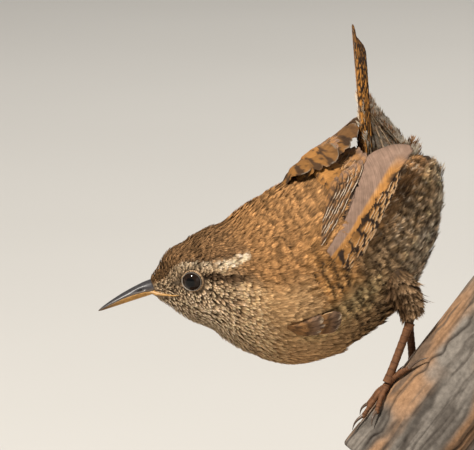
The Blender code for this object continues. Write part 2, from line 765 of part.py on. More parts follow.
def make_leg(side):
    heel, foot_place, hip, spread = LEGS[side]
    foot_solid("foot_" + side, foot_place, spread)
    cutter, ankle = foot_solid("cutter", foot_place, spread, GAP)
    heel = np.array(heel)
    hip = np.array(hip)
    aim = unit(heel - ankle)
    start = ankle + aim * ANKLE_RADIUS / 2
    end = heel - aim * ANKLE_RADIUS / 2
    shares = np.linspace(0.0, 1.0, 7)
    path = [start + (end - start) * share for share in shares]
    radii = [TARSUS_RADIUS * (1.0 + TARSUS_FLARE * (2 * share - 1) ** 4) for share in shares]
    tarsus = tube("tarsus_" + side, path, radii, LEG_SKIN, LEG_SIDES)
    cut_clear(tarsus, [cutter, grown_body()])
    rear = np.array((THIGH_SWELL, 0.0, 0.0))
    path = [hip + (heel - hip) * share + rear * math.sin(math.pi * share ** 1.5)
            for share in np.linspace(0.0, 1.0, len(THIGH_RADII))]
    thigh = tube("thigh_" + side, path, THIGH_RADII, PALE_PLUMAGE, THIGH_SIDES)
    room = TARSUS_RADIUS * (1.0 + TARSUS_FLARE) + GAP
    socket = tube("cutter", [start, heel + aim * 1.5], (room, room), LEG_SKIN, LEG_SIDES)
    cut_clear(thigh, [grown_body(), socket])


def make_stand():
    length, width, thick = BASE_SIZE
    base_mesh = bpy.data.meshes.new("stand_base")
    shape = bmesh.new()
    bmesh.ops.create_cube(shape, size=1.0)
    bmesh.ops.scale(shape, vec=(length * MM, width * MM, thick * MM), verts=shape.verts)
    bmesh.ops.translate(shape, vec=(0.0, 0.0, thick * MM / 2), verts=shape.verts)
    upright = [edge for edge in shape.edges
               if abs(edge.verts[0].co.z - edge.verts[1].co.z) > 0.5 * thick * MM]
    bmesh.ops.bevel(shape, geom=upright, offset=BASE_CORNER * MM, segments=5, affect="EDGES", profile=0.5)
    top = [edge for edge in shape.edges if all(v.co.z > 0.9 * thick * MM for v in edge.verts)
           and len(edge.link_faces) == 2
           and any(abs(f.normal.z) < 0.5 for f in edge.link_faces)]
    bmesh.ops.bevel(shape, geom=top, offset=BASE_EDGE * MM, segments=2, affect="EDGES", profile=0.5)
    bmesh.ops.triangulate(shape, faces=shape.faces)
    shape.to_mesh(base_mesh)
    shape.free()
    base_mesh.materials.append(material(*STAND_WOOD))
    base = bpy.data.objects.new("stand_base", base_mesh)
    bpy.context.collection.objects.link(base)
    for place, name in ROD_PLACES:
        make_rod(name, place)


def make_rod(name, across):
    """Upright rod from the base to the underside of the perch."""
    middle = (across - STAND_CENTRE[0], ROD_DEPTH, BASE_SIZE[2] + GAP + ROD_HEIGHT / 2)
    mesh = bpy.data.meshes.new(name)
    shape = bmesh.new()
    bmesh.ops.create_cone(shape, cap_ends=True, segments=ROD_SIDES, radius1=ROD_RADIUS * MM,
                          radius2=ROD_RADIUS * MM, depth=ROD_HEIGHT * MM)
    bmesh.ops.translate(shape, vec=[value * MM for value in middle], verts=shape.verts)
    bmesh.ops.triangulate(shape, faces=shape.faces)
    shape.to_mesh(mesh)
    shape.free()
    mesh.materials.append(material(*STAND_METAL))
    rod = bpy.data.objects.new(name, mesh)
    bpy.context.collection.objects.link(rod)
    join(rod, [make_perch("cut", GAP + PERCH_ROUGHNESS)], "DIFFERENCE")


def shade_round():
    """Smooth shading on round forms, with the edges of vanes and plates kept sharp."""
    for thing in bpy.data.objects:
        thing.data.shade_smooth()
        thing.data.set_sharp_from_angle(angle=SHARP_ANGLE)


def main():
    clear_scene()
    make_head()
    make_bill()
    make_body()
    make_tail()
    for side in ("left", "right"):
        make_wing(side)
        make_leg(side)
    make_perch()
    make_stand()
    shade_round()


main()
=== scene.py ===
import math

import bpy
import numpy as np
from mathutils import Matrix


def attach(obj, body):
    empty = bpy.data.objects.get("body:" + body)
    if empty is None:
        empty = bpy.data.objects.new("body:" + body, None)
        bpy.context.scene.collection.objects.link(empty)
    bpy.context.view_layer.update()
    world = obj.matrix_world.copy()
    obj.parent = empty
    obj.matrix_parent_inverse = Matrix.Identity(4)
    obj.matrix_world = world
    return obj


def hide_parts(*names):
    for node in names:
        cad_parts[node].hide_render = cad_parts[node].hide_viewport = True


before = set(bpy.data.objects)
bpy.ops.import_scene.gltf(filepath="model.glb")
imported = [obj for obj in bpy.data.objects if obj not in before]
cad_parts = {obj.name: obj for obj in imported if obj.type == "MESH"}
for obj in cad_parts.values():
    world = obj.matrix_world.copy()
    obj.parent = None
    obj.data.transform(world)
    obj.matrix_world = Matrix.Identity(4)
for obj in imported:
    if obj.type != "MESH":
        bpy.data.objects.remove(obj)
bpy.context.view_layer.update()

# Frame of the side view
MM = 0.001
GAP = 0.3
VIEW_TILT = math.radians(10.0)
STAND_CENTRE = (20.0, -0.5)
FLOOR_DROP = 66.0

# Lie of the body
LEFT = np.array((0.247, -0.337, 0.9085))
YAW_SLOPE = 0.105
YAW_CENTRE = 8.0
ROUNDNESS = 2.15

# Body from bill root to rump: across, up, half height, half width, lean of the section in degrees
BODY = np.array((
    (-17.75, -12.85, 1.60, 1.50, 20.0),
    (-15.10, -12.70, 4.15, 3.40, 20.0),
    (-12.05, -12.50, 7.70, 6.00, 20.0),
    (-8.15, -12.45, 10.00, 8.20, 20.0),
    (-3.05, -13.65, 13.70, 10.80, 22.0),
    (2.65, -14.15, 16.45, 13.20, 26.0),
    (9.80, -11.70, 18.25, 15.30, 29.0),
    (16.50, -7.55, 18.15, 15.90, 32.0),
    (23.05, -3.05, 17.10, 15.20, 36.0),
    (28.75, 2.05, 14.70, 13.20, 40.0),
    (33.25, 6.55, 11.20, 9.90, 45.0),
    (36.50, 10.60, 7.30, 6.30, 50.0),
    (38.35, 12.65, 4.10, 3.60, 52.0),
    (39.40, 13.90, 1.20, 1.10, 52.0),
))
STEPS = np.linalg.norm(np.diff(BODY[:, :2], axis=0), axis=1)
KNOTS = np.concatenate(((0.0,), np.cumsum(STEPS)))
SLOPES = np.gradient(BODY, KNOTS, axis=0)
BODY_LENGTH = KNOTS[-1]

# Head
EYE_ALONG = 8.0
EYE_ANGLE = math.radians(22.5)
EYE_RADIUS = 2.3
EYE_SINK = 1.5
LID_RADIUS = 1.95
MOUTH_ANGLE = math.radians(-14.0)

# Bill
BILL_LENGTH = 11.1
BILL_DROOP = math.radians(20.5)
BILL_CURVE = 0.7
BILL_HALF_WIDTH = 1.45
UPPER_HEIGHT = 1.45
LOWER_HEIGHT = 1.0
BILL_TIP = 0.2

# Tail
TAIL_ROOT = np.array((26.3, 10.2, 0.5))
TAIL_AIM = np.array((-0.088, 0.930, 0.363))
TAIL_LENGTH = 32.5
TAIL_PAIRS = 6
TAIL_VANE_WIDTH = 4.0
TAIL_STEP = 0.17
TAIL_FAN = math.radians(0.55)

# Wings
WING_CLEARANCE = 0.35
WING_RADIUS = 16.5
WING_REACH = 52.0
WING_HOLD = {"left": (0.0, 0.0, 0.0), "right": (-0.8, 2.6, 5.0)}
TIP_SHIFT = (34.0, 25.0)
STAND_OFF = (39.0, 13.0)
DROOP = (22.0, 30.0)

# Perch
PERCH_TOP = np.array((32.0, -31.0, 1.0))
PERCH_LEAN = math.radians(52.0)
PERCH_RADIUS = 12.0
PERCH_LOW_END = -17.0
PERCH_HIGH_END = 27.0

# Camera
VIEW_WIDTH = 96.7
VIEW_DISTANCE = 1100.0
SENSOR = 36.0


def unit(vectors):
    return vectors / np.maximum(np.linalg.norm(vectors, axis=-1, keepdims=True), 1e-12)


def to_world(points):
    """Side view millimetres to world metres, for points in any array."""
    across, up, near = np.moveaxis(np.asarray(points, dtype=float), -1, 0)
    depth = up * math.sin(VIEW_TILT) - near * math.cos(VIEW_TILT)
    height = up * math.cos(VIEW_TILT) + near * math.sin(VIEW_TILT)
    shifted = (across - STAND_CENTRE[0], depth - STAND_CENTRE[1], height + FLOOR_DROP)
    return np.stack(shifted, axis=-1) * MM


def ramp(value, start, end):
    """Smooth rise from 0 at start to 1 at end."""
    share = np.clip((value - start) / (end - start), 0.0, 1.0)
    return share * share * (3.0 - 2.0 * share)


def hump(value, centre, spread):
    return np.exp(-((value - centre) / spread) ** 2)


def mix(first, second, share):
    share = np.asarray(share)[..., None]
    return first * (1.0 - share) + second * share


def lattice_noise(x, y, seed, wrap=0):
    """Smooth noise from -1 to 1 over a plane; wrap repeats it along y."""
    column, row = np.floor(x).astype(int), np.floor(y).astype(int)
    u, v = x - column, y - row
    u, v = u * u * (3 - 2 * u), v * v * (3 - 2 * v)

    def corner(step_x, step_y):
        line = row + step_y
        if wrap:
            line = line % wrap
        mixed = (column + step_x) * 374761393 + line * 668265263 + seed * 974634777
        mixed = (mixed ^ (mixed >> 13)) * 1274126177
        return ((mixed ^ (mixed >> 16)) & 65535) / 32767.5 - 1.0

    low = corner(0, 0) * (1 - u) + corner(1, 0) * u
    high = corner(0, 1) * (1 - u) + corner(1, 1) * u
    return low * (1 - v) + high * v


# The body's surface

def body_sizes(along):
    inside = np.clip(along, 0.0, BODY_LENGTH)
    cell = np.clip(np.searchsorted(KNOTS, inside, side="right") - 1, 0, len(KNOTS) - 2)
    width = (KNOTS[cell + 1] - KNOTS[cell])[..., None]
    t = (inside - KNOTS[cell])[..., None] / width
    return ((2 * t ** 3 - 3 * t ** 2 + 1) * BODY[cell] + (t ** 3 - 2 * t ** 2 + t) * width * SLOPES[cell]
            + (3 * t ** 2 - 2 * t ** 3) * BODY[cell + 1] + (t ** 3 - t ** 2) * width * SLOPES[cell + 1])


def body_frame(along):
    across, up, tall, wide, lean = np.moveaxis(body_sizes(along), -1, 0)
    lean = np.radians(lean)
    centre = np.stack((across, up, (YAW_CENTRE - across) * YAW_SLOPE), axis=-1)
    tailward = unit(np.stack((np.cos(lean), np.sin(lean), np.full_like(lean, -YAW_SLOPE)), axis=-1))
    left = unit(LEFT - (tailward @ LEFT)[..., None] * tailward)
    return centre, tailward, left, np.cross(left, tailward), tall, wide


def rounded(value):
    return np.sign(value) * np.abs(value) ** (2.0 / ROUNDNESS)


def body_point(along, angle, grow=0.0):
    """Points on the body: angle 0 is its left, a quarter turn its back."""
    along, angle = np.broadcast_arrays(np.asarray(along, dtype=float), angle)
    centre, _, left, back, tall, wide = body_frame(along)
    return (centre + left * ((wide + grow) * rounded(np.cos(angle)))[..., None]
            + back * ((tall + grow) * rounded(np.sin(angle)))[..., None])


def surface(along, angle):
    """Place, outward normal, tailward and upward tangents and both bends of the body's surface."""
    step, turn = 0.5, 0.06
    along = np.maximum(along, step)
    here = body_point(along, angle)
    fore, aft = body_point(along - step, angle), body_point(along + step, angle)
    low, high = body_point(along, angle - turn), body_point(along, angle + turn)
    flow = unit(aft - fore)
    sweep = high - low
    side = unit(sweep - (sweep * flow).sum(-1, keepdims=True) * flow)
    normal = np.cross(flow, side)
    outward = here - body_frame(along)[0]
    normal = normal * np.sign((normal * outward).sum(-1, keepdims=True))
    run_bend = -((aft + fore - 2 * here) * normal).sum(-1) / step ** 2
    side_bend = -((high + low - 2 * here) * normal).sum(-1) / (np.linalg.norm(sweep, axis=-1) / 2) ** 2
    return here, normal, flow, side, run_bend, side_bend


def girth_radius(along):
    sizes = body_sizes(along)
    return (sizes[..., 2] + sizes[..., 3]) / 2


# Markings and painted shade, shared by skin and feathers

CROWN = np.array((0.33, 0.18, 0.08))
MANTLE = np.array((0.43, 0.22, 0.085))
RUMP = np.array((0.27, 0.14, 0.058))
CREAM = np.array((0.76, 0.58, 0.38))
BUFF = np.array((0.68, 0.45, 0.25))
BREAST = np.array((0.55, 0.325, 0.150))
BELLY = np.array((0.40, 0.235, 0.105))
FLANK = np.array((0.42, 0.255, 0.12))
DARK = np.array((0.022, 0.014, 0.009))
STRIPE = np.array((0.13, 0.07, 0.035))
WHITISH = np.array((0.78, 0.61, 0.43))


def side_height(angle):
    """Degrees up from the side line, and which side: 1 is left."""
    degrees = np.degrees(np.arctan2(np.sin(angle), np.cos(angle)))
    side = np.where(np.abs(degrees) <= 90.0, 1, -1)
    height = np.where(degrees > 90.0, 180.0 - degrees, np.where(degrees < -90.0, -180.0 - degrees, degrees))
    return height, side


def markings_and_shade(along, angle):
    """Colour of places on the body, with painted shade along the wing's rear edge, and how strong their tips, bars,
    streaks and mottling are; mottling also sets how deep the painted shade at the feather roots is.
    """
    height = side_height(angle)[0]
    arc = np.radians(height) * girth_radius(along)
    patch = lattice_noise(along * 0.33, arc * 0.4, 5)
    fleck = lattice_noise(along * 1.1, arc * 1.3, 8)

    under_line = 42.0 - 22.0 * ramp(along, 13.0, 24.0) - 6.0 * ramp(along, 26.0, 46.0)
    under = 1.0 - ramp(height, under_line - 14.0, under_line + 6.0)
    colour = mix(CROWN, MANTLE, ramp(along, 12.0, 24.0))
    colour = mix(colour, RUMP, ramp(along, 48.0, 56.0))
    pale = mix(BUFF, BREAST, ramp(along, 10.0, 20.0))
    pale = mix(pale, BELLY, ramp(along, 24.0, 34.0))
    pale = mix(pale, FLANK, ramp(along, 36.0, 46.0) * ramp(height, -60.0, -20.0))
    colour = mix(colour, pale, under)
    vent = ramp(along, 43.0, 51.0) * (1.0 - ramp(height, -38.0, -5.0))
    colour = mix(colour, np.array((0.66, 0.53, 0.39)), vent * (0.6 + 0.4 * patch))
    rear = ramp(along, 44.0, 52.0)
    tips = under * (0.15 + 0.30 * ramp(along, 32.0, 44.0)) + 0.10 * rear + 0.3 * vent
    tips = np.maximum(tips, 0.7 * (1.0 - ramp(along, 15.0, 22.0)) * under)
    bars = (1.0 - under) * (0.1 + 0.6 * ramp(along, 18.0, 30.0)) + under * 1.1 * ramp(along, 27.0, 38.0)
    bars = bars * (1.0 - 0.3 * rear * (1.0 - under))
    streaks = (1.0 - under) * (0.9 * (1.0 - ramp(along, 14.0, 26.0)) + 0.1) + under * 0.15 - 0.6 * rear
    mottle = 0.16 - 0.08 * under * ramp(along, 14.0, 20.0) * (1.0 - ramp(along, 24.0, 32.0))
    mottle = mottle + 0.12 * (1.0 - ramp(along, 14.0, 24.0)) + 0.2 * rear

    cheek = hump(along, 12.0, 5.0) * hump(height, 8.0, 17.0)
    colour = mix(colour, STRIPE * 1.5, np.clip(cheek * (0.25 + 1.1 * fleck), 0.0, 0.8))
    mottle = mottle + 0.3 * cheek
    face = (1.0 - ramp(along, 8.0, 13.0)) * under
    colour = mix(colour, np.array((0.74, 0.53, 0.33)), face * 0.7)
    freckles = face * ramp(fleck, 0.1, 0.5) * ramp(height, -40.0, -10.0)
    colour = mix(colour, STRIPE * 1.2, freckles * 0.55)

    stripe = 1.15 * ramp(along, 9.0, 10.4) * (1.0 - ramp(along, 15.0, 21.0))
    stripe = stripe * hump(height, 28.5 + 0.55 * (along - 11.0), 5.0)
    lore = (1.0 - ramp(along, 5.4, 7.0)) * hump(height, 22.0, 6.5) * 0.5
    colour = mix(colour, STRIPE * 0.6, np.clip(stripe + lore, 0.0, 0.95))
    tips = tips * (1.0 - 0.9 * np.clip(stripe + lore, 0.0, 1.0))

    centre = 44.5 - 2.0 * hump(along, 12.0, 4.0) + 8.5 * ramp(along, 14.5, 21.0)
    thin = 4.4 - 1.7 * ramp(along, 12.5, 15.0)
    brow = ramp(along, 2.0, 6.0) * (1.0 - ramp(along, 18.5, 20.5)) * hump(height, centre, thin)
    brow = brow * (0.6 + 0.4 * fleck * (1.0 - ramp(along, 12.0, 13.5)) + 0.5 * ramp(along, 11.8, 13.2))
    colour = mix(colour, CREAM, np.clip(brow * 1.2, 0.0, 0.97))
    above_eye = hump(along, EYE_ALONG, 2.6) * hump(height, 42.0, 6.0)
    colour = mix(colour, CREAM, 0.6 * above_eye)
    over_brow = ramp(along, 3.0, 7.0) * (1.0 - ramp(along, 18.0, 24.0)) * hump(height, centre + 9.0, 4.0)
    colour = mix(colour, STRIPE, over_brow * 0.5)
    streaks = streaks * (1.0 - np.clip(brow, 0.0, 1.0))
    tips = np.clip(np.maximum(tips, brow), 0.0, 1.0)

    arc = np.radians(height) * WING_RADIUS
    coverts = ramp(along, 30.0, 33.0) * (1.0 - ramp(along, 39.0, 42.0)) * ramp(arc, -2.5, -0.5)
    coverts = coverts * (1.0 - 0.7 * ramp(arc, 5.0, 9.0)) * (1.0 - ramp(arc, 9.0, 15.0))
    colour = mix(colour, np.array((0.52, 0.245, 0.075)), coverts * 0.9)
    bars = np.maximum(bars * (1.0 - coverts), 1.2 * coverts)
    tips = tips * (1.0 - coverts) + 0.25 * coverts
    streaks = streaks * (1.0 - coverts)
    checked = np.clip(1.4 * hump(along, 37.0, 4.0) * hump(height, -15.0, 8.0), 0.0, 1.0)
    row = hump(along, 29.0, 4.5) * hump(arc, -6.2, 1.3)
    colour = mix(colour, np.array((0.80, 0.53, 0.24)), np.maximum(checked, row))
    bars = np.maximum(bars, 1.5 * np.maximum(checked, row))
    # Painted shade: darker along and behind the wing's rear edge
    shaded = ramp(along, 39.0, 47.0) * (1.0 - ramp(along, 58.0, 65.0)) * hump(height, 10.0, 24.0)
    colour = colour * (1.0 - 0.5 * shaded)[..., None]
    colour = colour * (1.0 + 0.15 * patch + 0.10 * fleck)[..., None]
    return colour, tips, bars, streaks, mottle


# Meshes and materials

def mesh_piece(name, points, triangles, tint=None, patch=None, smooth=False):
    """Object from side view points and triangles, with a colour for each point."""
    mesh = bpy.data.meshes.new(name)
    points = to_world(np.asarray(points).reshape(-1, 3))
    triangles = np.asarray(triangles, dtype=np.int32)
    mesh.vertices.add(len(points))
    mesh.vertices.foreach_set("co", points.astype(np.float32).ravel())
    mesh.loops.add(triangles.size)
    mesh.loops.foreach_set("vertex_index", triangles.ravel())
    mesh.polygons.add(len(triangles))
    mesh.polygons.foreach_set("loop_start", np.arange(0, triangles.size, 3, dtype=np.int32))
    mesh.polygons.foreach_set("use_smooth", np.full(len(triangles), smooth))
    mesh.update(calc_edges=True)
    mesh.validate()
    if tint is not None:
        layer = mesh.color_attributes.new("tint", "FLOAT_COLOR", "POINT")
        colours = np.ones((len(points), 4), dtype=np.float32)
        colours[:, :3] = np.clip(np.asarray(tint).reshape(-1, 3), 0.0, 1.0)
        layer.data.foreach_set("color", colours.ravel())
    if patch is not None:
        layer = mesh.uv_layers.new(name="OFBake")
        flat = np.asarray(patch, dtype=np.float32).reshape(-1, 2)
        layer.data.foreach_set("uv", flat[triangles.ravel()].ravel())
    piece = bpy.data.objects.new(name, mesh)
    bpy.context.scene.collection.objects.link(piece)
    return piece


def add_to(piece, material, slot, *replaced):
    piece.data.materials.append(material)
    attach(piece, "root")
    if replaced:
        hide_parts(*replaced)
    return piece


class Look:
    """Principled material with helpers for its nodes."""

    def __init__(self, name, roughness=0.6, specular=0.5, **constants):
        self.material = bpy.data.materials.new(name)
        self.material.use_nodes = True
        self.nodes = self.material.node_tree.nodes
        self.links = self.material.node_tree.links
        self.shader = self.nodes["Principled BSDF"]
        self.shader.inputs["Roughness"].default_value = roughness
        self.shader.inputs["Specular IOR Level"].default_value = specular
        for label, value in constants.items():
            self.shader.inputs[label.replace("_", " ")].default_value = value
        self.place = self.node("TexCoord").outputs["Object"]

    def node(self, kind, **settings):
        made = self.nodes.new("ShaderNode" + kind)
        for label, value in settings.items():
            setattr(made, label, value)
        return made

    def feed(self, target, source):
        if isinstance(source, bpy.types.NodeSocket):
            self.links.new(source, target)
        else:
            target.default_value = source

    def noise(self, scale, detail=3.0, roughness=0.55, stretch=None, place=None):
        place = place or self.place
        if stretch:
            mapping = self.node("Mapping")
            self.links.new(place, mapping.inputs["Vector"])
            mapping.inputs["Scale"].default_value = stretch
            place = mapping.outputs["Vector"]
        made = self.node("TexNoise")
        self.links.new(place, made.inputs["Vector"])
        made.inputs["Scale"].default_value = scale
        made.inputs["Detail"].default_value = detail
        made.inputs["Roughness"].default_value = roughness
        return made.outputs["Fac"]

    def span(self, value, low, high, out_low, out_high):
        made = self.node("MapRange")
        for label, source in (("Value", value), ("From Min", low), ("From Max", high),
                              ("To Min", out_low), ("To Max", out_high)):
            self.feed(made.inputs[label], source)
        return made.outputs["Result"]

    def math(self, operation, first, second=0.0):
        made = self.node("Math", operation=operation)
        self.feed(made.inputs[0], first)
        self.feed(made.inputs[1], second)
        return made.outputs["Value"]

    def blend(self, first, second, share, kind="MIX"):
        made = self.node("Mix", data_type="RGBA", blend_type=kind)
        self.feed(made.inputs["Factor"], share)
        self.feed(made.inputs["A"], first)
        self.feed(made.inputs["B"], second)
        return made.outputs["Result"]

    def attribute(self, name="tint"):
        return self.node("Attribute", attribute_name=name).outputs["Color"]

    def scaled(self, colour, value):
        made = self.node("VectorMath", operation="SCALE")
        self.feed(made.inputs[0], colour)
        self.feed(made.inputs["Scale"], value)
        return made.outputs["Vector"]

    def colour(self, source):
        self.feed(self.shader.inputs["Base Color"], source)

    def roughness(self, source):
        self.feed(self.shader.inputs["Roughness"], source)

    def bump(self, height, strength, distance):
        made = self.node("Bump")
        made.inputs["Strength"].default_value = strength
        made.inputs["Distance"].default_value = distance
        self.links.new(height, made.inputs["Height"])
        self.links.new(made.outputs["Normal"], self.shader.inputs["Normal"])


def rgba(*colour):
    return (*colour, 1.0)


def plumage_look(name, roughness=0.72):
    look = Look(name, roughness, 0.08)
    mottle = look.span(look.noise(900.0, 3.0), 0.3, 0.7, 0.82, 1.16)
    look.colour(look.scaled(look.attribute(), mottle))
    look.bump(look.noise(4200.0, 2.0), 0.35, 0.0001)
    return look.material


# Contour feathers

def feather_shape(pairs, spread, fine=True):
    """One contour feather in shares of its length and half width: a shaft and pairs of barb locks."""
    points, triangles, lock, reach = [], [], [], []

    def row(s, t, owner, weight):
        points.append((s, t))
        lock.append(owner)
        reach.append(weight)
        return len(points) - 1

    shaft = [(row(s, -w, 0, 0.0), row(s, w, 0, 0.0)) for s, w in ((0.0, 0.07), (0.5, 0.06), (0.85, 0.04))]
    for (a, b), (c, d) in zip(shaft, shaft[1:]):
        triangles += [(a, c, d), (a, d, b)]
    end = row(1.0, 0.0, 0, 0.3)
    triangles.append((shaft[-1][0], end, shaft[-1][1]))
    half = 0.46 / (pairs - 1)
    for sign in (-1, 1):
        for k in range(pairs):
            share = k / (pairs - 1)
            root = 0.10 + 0.78 * share
            out = math.sqrt(max(0.0, 1.0 - (0.12 + 0.82 * share) ** 2.4)) * (0.75 + 0.25 * math.sin(2.6 * share + 0.5))
            owner = 1 + k + (pairs if sign > 0 else 0)
            tip_s = root + spread * max(out, 0.25)
            a = row(root - half, 0.0, owner, 0.0)
            b = row(root + half, 0.0, owner, 0.0)
            faces = []
            for run, reached, loose in ((0.22, 0.36, 0.3), (0.55, 0.74, 0.65)) if fine else ((0.42, 0.62, 0.55),):
                c = row(root + run * (tip_s - root) - half, sign * out * reached, owner, loose)
                d = row(root + run * (tip_s - root) + half, sign * out * reached, owner, loose)
                faces += [(a, b, d), (a, d, c)]
                a, b = c, d
            faces.append((a, b, row(tip_s, sign * out, owner, 1.0)))
            triangles += faces if sign < 0 else [(x, z, y) for x, y, z in faces]
    return np.array(points), np.array(triangles), np.array(lock), np.array(reach)


def grow_feathers(base, heading, length, width, lifts, paint, shape, loose, seed):
    """Points, triangles and colours of many feathers that stand on a surface."""
    here, normal, flow, side, run_bend, side_bend = base
    draw = np.random.default_rng(seed)
    points, triangles, lock, reach = shape
    count = len(here)
    locks = lock.max() + 1
    jitter = draw.normal(0.0, 1.0, (count, locks, 4))[:, lock] * reach[None, :, None]
    loose = np.broadcast_to(loose, (count,))[:, None]
    s = points[None, :, 0] + jitter[..., 0] * 0.05 * (0.6 + loose)
    t = points[None, :, 1] * (1.0 + jitter[..., 1] * 0.10 * (0.6 + loose)) + jitter[..., 3] * 0.05 * loose
    turn = heading[:, None]
    ahead = flow * np.cos(turn) + side * np.sin(turn)
    aside = side * np.cos(turn) - flow * np.sin(turn)
    bend = run_bend * np.cos(heading) ** 2 + side_bend * np.sin(heading) ** 2
    cross_bend = side_bend * np.cos(heading) ** 2 + run_bend * np.sin(heading) ** 2
    run = s * length[:, None]
    out = t * width[:, None] / 2
    root_lift, tip_lift = lifts
    lift = root_lift[:, None] + (tip_lift - root_lift)[:, None] * np.clip(s, 0.0, 1.3) ** 0.8
    lift = lift + reach * 0.05 + np.abs(jitter[..., 2]) * 0.10 * (0.35 + loose) * width[:, None] / 2
    lift = lift - 0.5 * bend[:, None] * run ** 2 - 0.5 * cross_bend[:, None] * out ** 2
    made = (here[:, None] + ahead[:, None] * run[..., None] + aside[:, None] * out[..., None]
            + normal[:, None] * lift[..., None])
    tone = draw.normal(0.0, 1.0, (count, locks))[:, lock]
    colour = paint(s, t, tone, length)
    order = triangles[None] + (np.arange(count) * len(points))[:, None, None]
    return made, order.reshape(-1, 3), colour, (s, t)


def barred(colour, tips, bars, streaks, mottle, phase, period, shade):
    """Painter of contour feathers: bars across, a dark streak down the shaft, a pale tip, and painted shade towards the
    root where the feathers overlap.
    """

    def paint(s, t, tone, length):
        wave = np.sin(2 * math.pi * ((s * length[:, None] + 0.5 * t ** 2) / period[:, None] + phase[:, None]))
        wide = 0.9 * (bars - 0.75)[:, None]
        bar = ramp(wave + wide, 0.25, 0.6) * np.minimum(bars, 1.0)[:, None]
        pale = tips[:, None] * ramp(s, 0.74, 0.95)
        made = mix(colour[:, None], 0.5 * np.minimum(colour[:, None] * 2.2, 0.9) + 0.45 * WHITISH, pale * 0.8)
        made = mix(made, DARK[None, None], bar * 0.97)
        streak = np.exp(-(t / 0.34) ** 2) * ramp(s, 0.2, 0.5)
        made = mix(made, STRIPE[None, None] * 0.45, np.maximum(streaks, 0.0)[:, None] * streak * 0.9)
        made = mix(made, WHITISH[None, None] * 0.75, np.maximum(-streaks, 0.0)[:, None] * streak * 0.6)
        # Painted shade: darker towards the root, where the next feathers lie over it; mottle sets how deep it is
        made = mix(made, colour[:, None] * 0.12, (1.0 - ramp(s, 0.45, 0.95)) * np.minimum(0.85, 0.25 + 2.0 * mottle)[:, None])
        depth = (0.10 + 0.75 * mottle)[:, None]
        made = made * (shade[:, None] * np.exp(depth * np.clip(tone, -2.0, 1.4)))[..., None]
        return made * np.minimum(1.0, 0.75 / np.maximum(made[..., :1], 0.01))

    return paint


def scatter(start, end, spacing, seed, keep=None):
    """Staggered places over a length of the body."""
    draw = np.random.default_rng(seed)
    along_all, angle_all = [], []
    along = start
    row = 0
    while along < end:
        radius = float(girth_radius(np.array(along)))
        gap = spacing(along)
        count = max(8, int(2 * math.pi * radius / (gap * 0.78)))
        angle = (np.arange(count) + 0.5 * (row % 2)) * 2 * math.pi / count
        angle = angle + draw.normal(0.0, 0.22 * 2 * math.pi / count, count)
        along_all.append(along + draw.normal(0.0, 0.4 * gap, count))
        angle_all.append(angle)
        along += 1.4 * gap
        row += 1
    along = np.clip(np.concatenate(along_all), 0.3, BODY_LENGTH - 0.1)
    angle = np.concatenate(angle_all)
    if keep is not None:
        chosen = keep(along, angle)
        along, angle = along[chosen], angle[chosen]
    return along, angle


# Visible outline of the folded wing, as lengths along the body and arcs, and its rear lower edge
WING_OUTLINE = np.array((
    (23.8, -1.8), (28.5, -1.5), (33.0, -2.0), (36.3, -1.2), (37.2, 1.5), (37.0, 5.0), (36.5, 8.5), (39.0, 11.8),
    (42.5, 15.2), (45.0, 17.5), (45.0, 22.0), (46.0, 27.0), (53.0, 29.0), (62.0, 24.0), (62.0, 13.0),
    (54.3, 8.1), (47.1, 5.8), (40.3, 2.3), (36.8, 1.2), (35.3, -2.6), (31.4, -6.0), (25.6, -4.2)))
WING_REAR = np.array(((31.4, -6.0), (35.3, -2.6), (36.8, 1.2), (40.3, 2.3), (47.1, 5.8), (54.3, 8.1), (62.0, 13.0)))


def wing_distance(along, angle):
    """Signed distance to the wing's outline, below 0 inside it, and how far the rear edge lies behind."""
    height, side = side_height(angle)
    arc = np.radians(height) * WING_RADIUS
    arc = arc + np.where(side < 0, WING_HOLD["right"][2], 0.0) * (1.0 - np.clip((along - DROOP[0]) / DROOP[1], 0, 1))
    nearest = np.full(np.shape(along), 1e9)
    inside = np.zeros(np.shape(along), dtype=bool)
    for (x0, y0), (x1, y1) in zip(WING_OUTLINE, np.roll(WING_OUTLINE, -1, axis=0)):
        run = np.array((x1 - x0, y1 - y0))
        share = np.clip(((along - x0) * run[0] + (arc - y0) * run[1]) / (run @ run), 0.0, 1.0)
        nearest = np.minimum(nearest, np.hypot(along - x0 - share * run[0], arc - y0 - share * run[1]))
        crosses = (y0 > arc) != (y1 > arc)
        slope = (arc - y0) / (y1 - y0) if y1 != y0 else np.zeros(np.shape(arc))
        inside ^= crosses & (along < x0 + slope * (x1 - x0))
    behind = np.interp(arc, WING_REAR[:, 1], WING_REAR[:, 0]) - along
    return np.where(inside, -nearest, nearest), behind, arc


def wing_cover(along, angle):
    """How far the coat is lifted where it laps over the front and upper edge of the wing."""
    distance, behind, arc = wing_distance(along, angle)
    ahead = ramp(behind, 0.5, 3.0) * (1.0 - ramp(arc, 27.0, 34.0)) * ramp(arc, -2.5, 0.5)
    return 1.5 * (1.0 - ramp(distance, 0.5, 9.0)) * ahead * ramp(distance, -1.0, -0.3)


def eye_distance(along, angle):
    """Distance over the skin from the nearer eye, and the heading away from it."""
    height, side = side_height(angle)
    run = along - EYE_ALONG
    rise = np.radians(height - math.degrees(EYE_ANGLE)) * girth_radius(along)
    return np.hypot(run, rise), np.arctan2(rise * side, run)


def body_spacing(along):
    return float(np.interp(along, (0.0, 5.0, 12.0, 22.0, 34.0, 50.0, 67.0),
                           (0.36, 0.40, 0.50, 0.66, 0.78, 0.80, 0.74)))


# Distance between dark bars, in rows over the body and on loose coverts
BAND = 2.4
LOOSE_BAND = 3.2


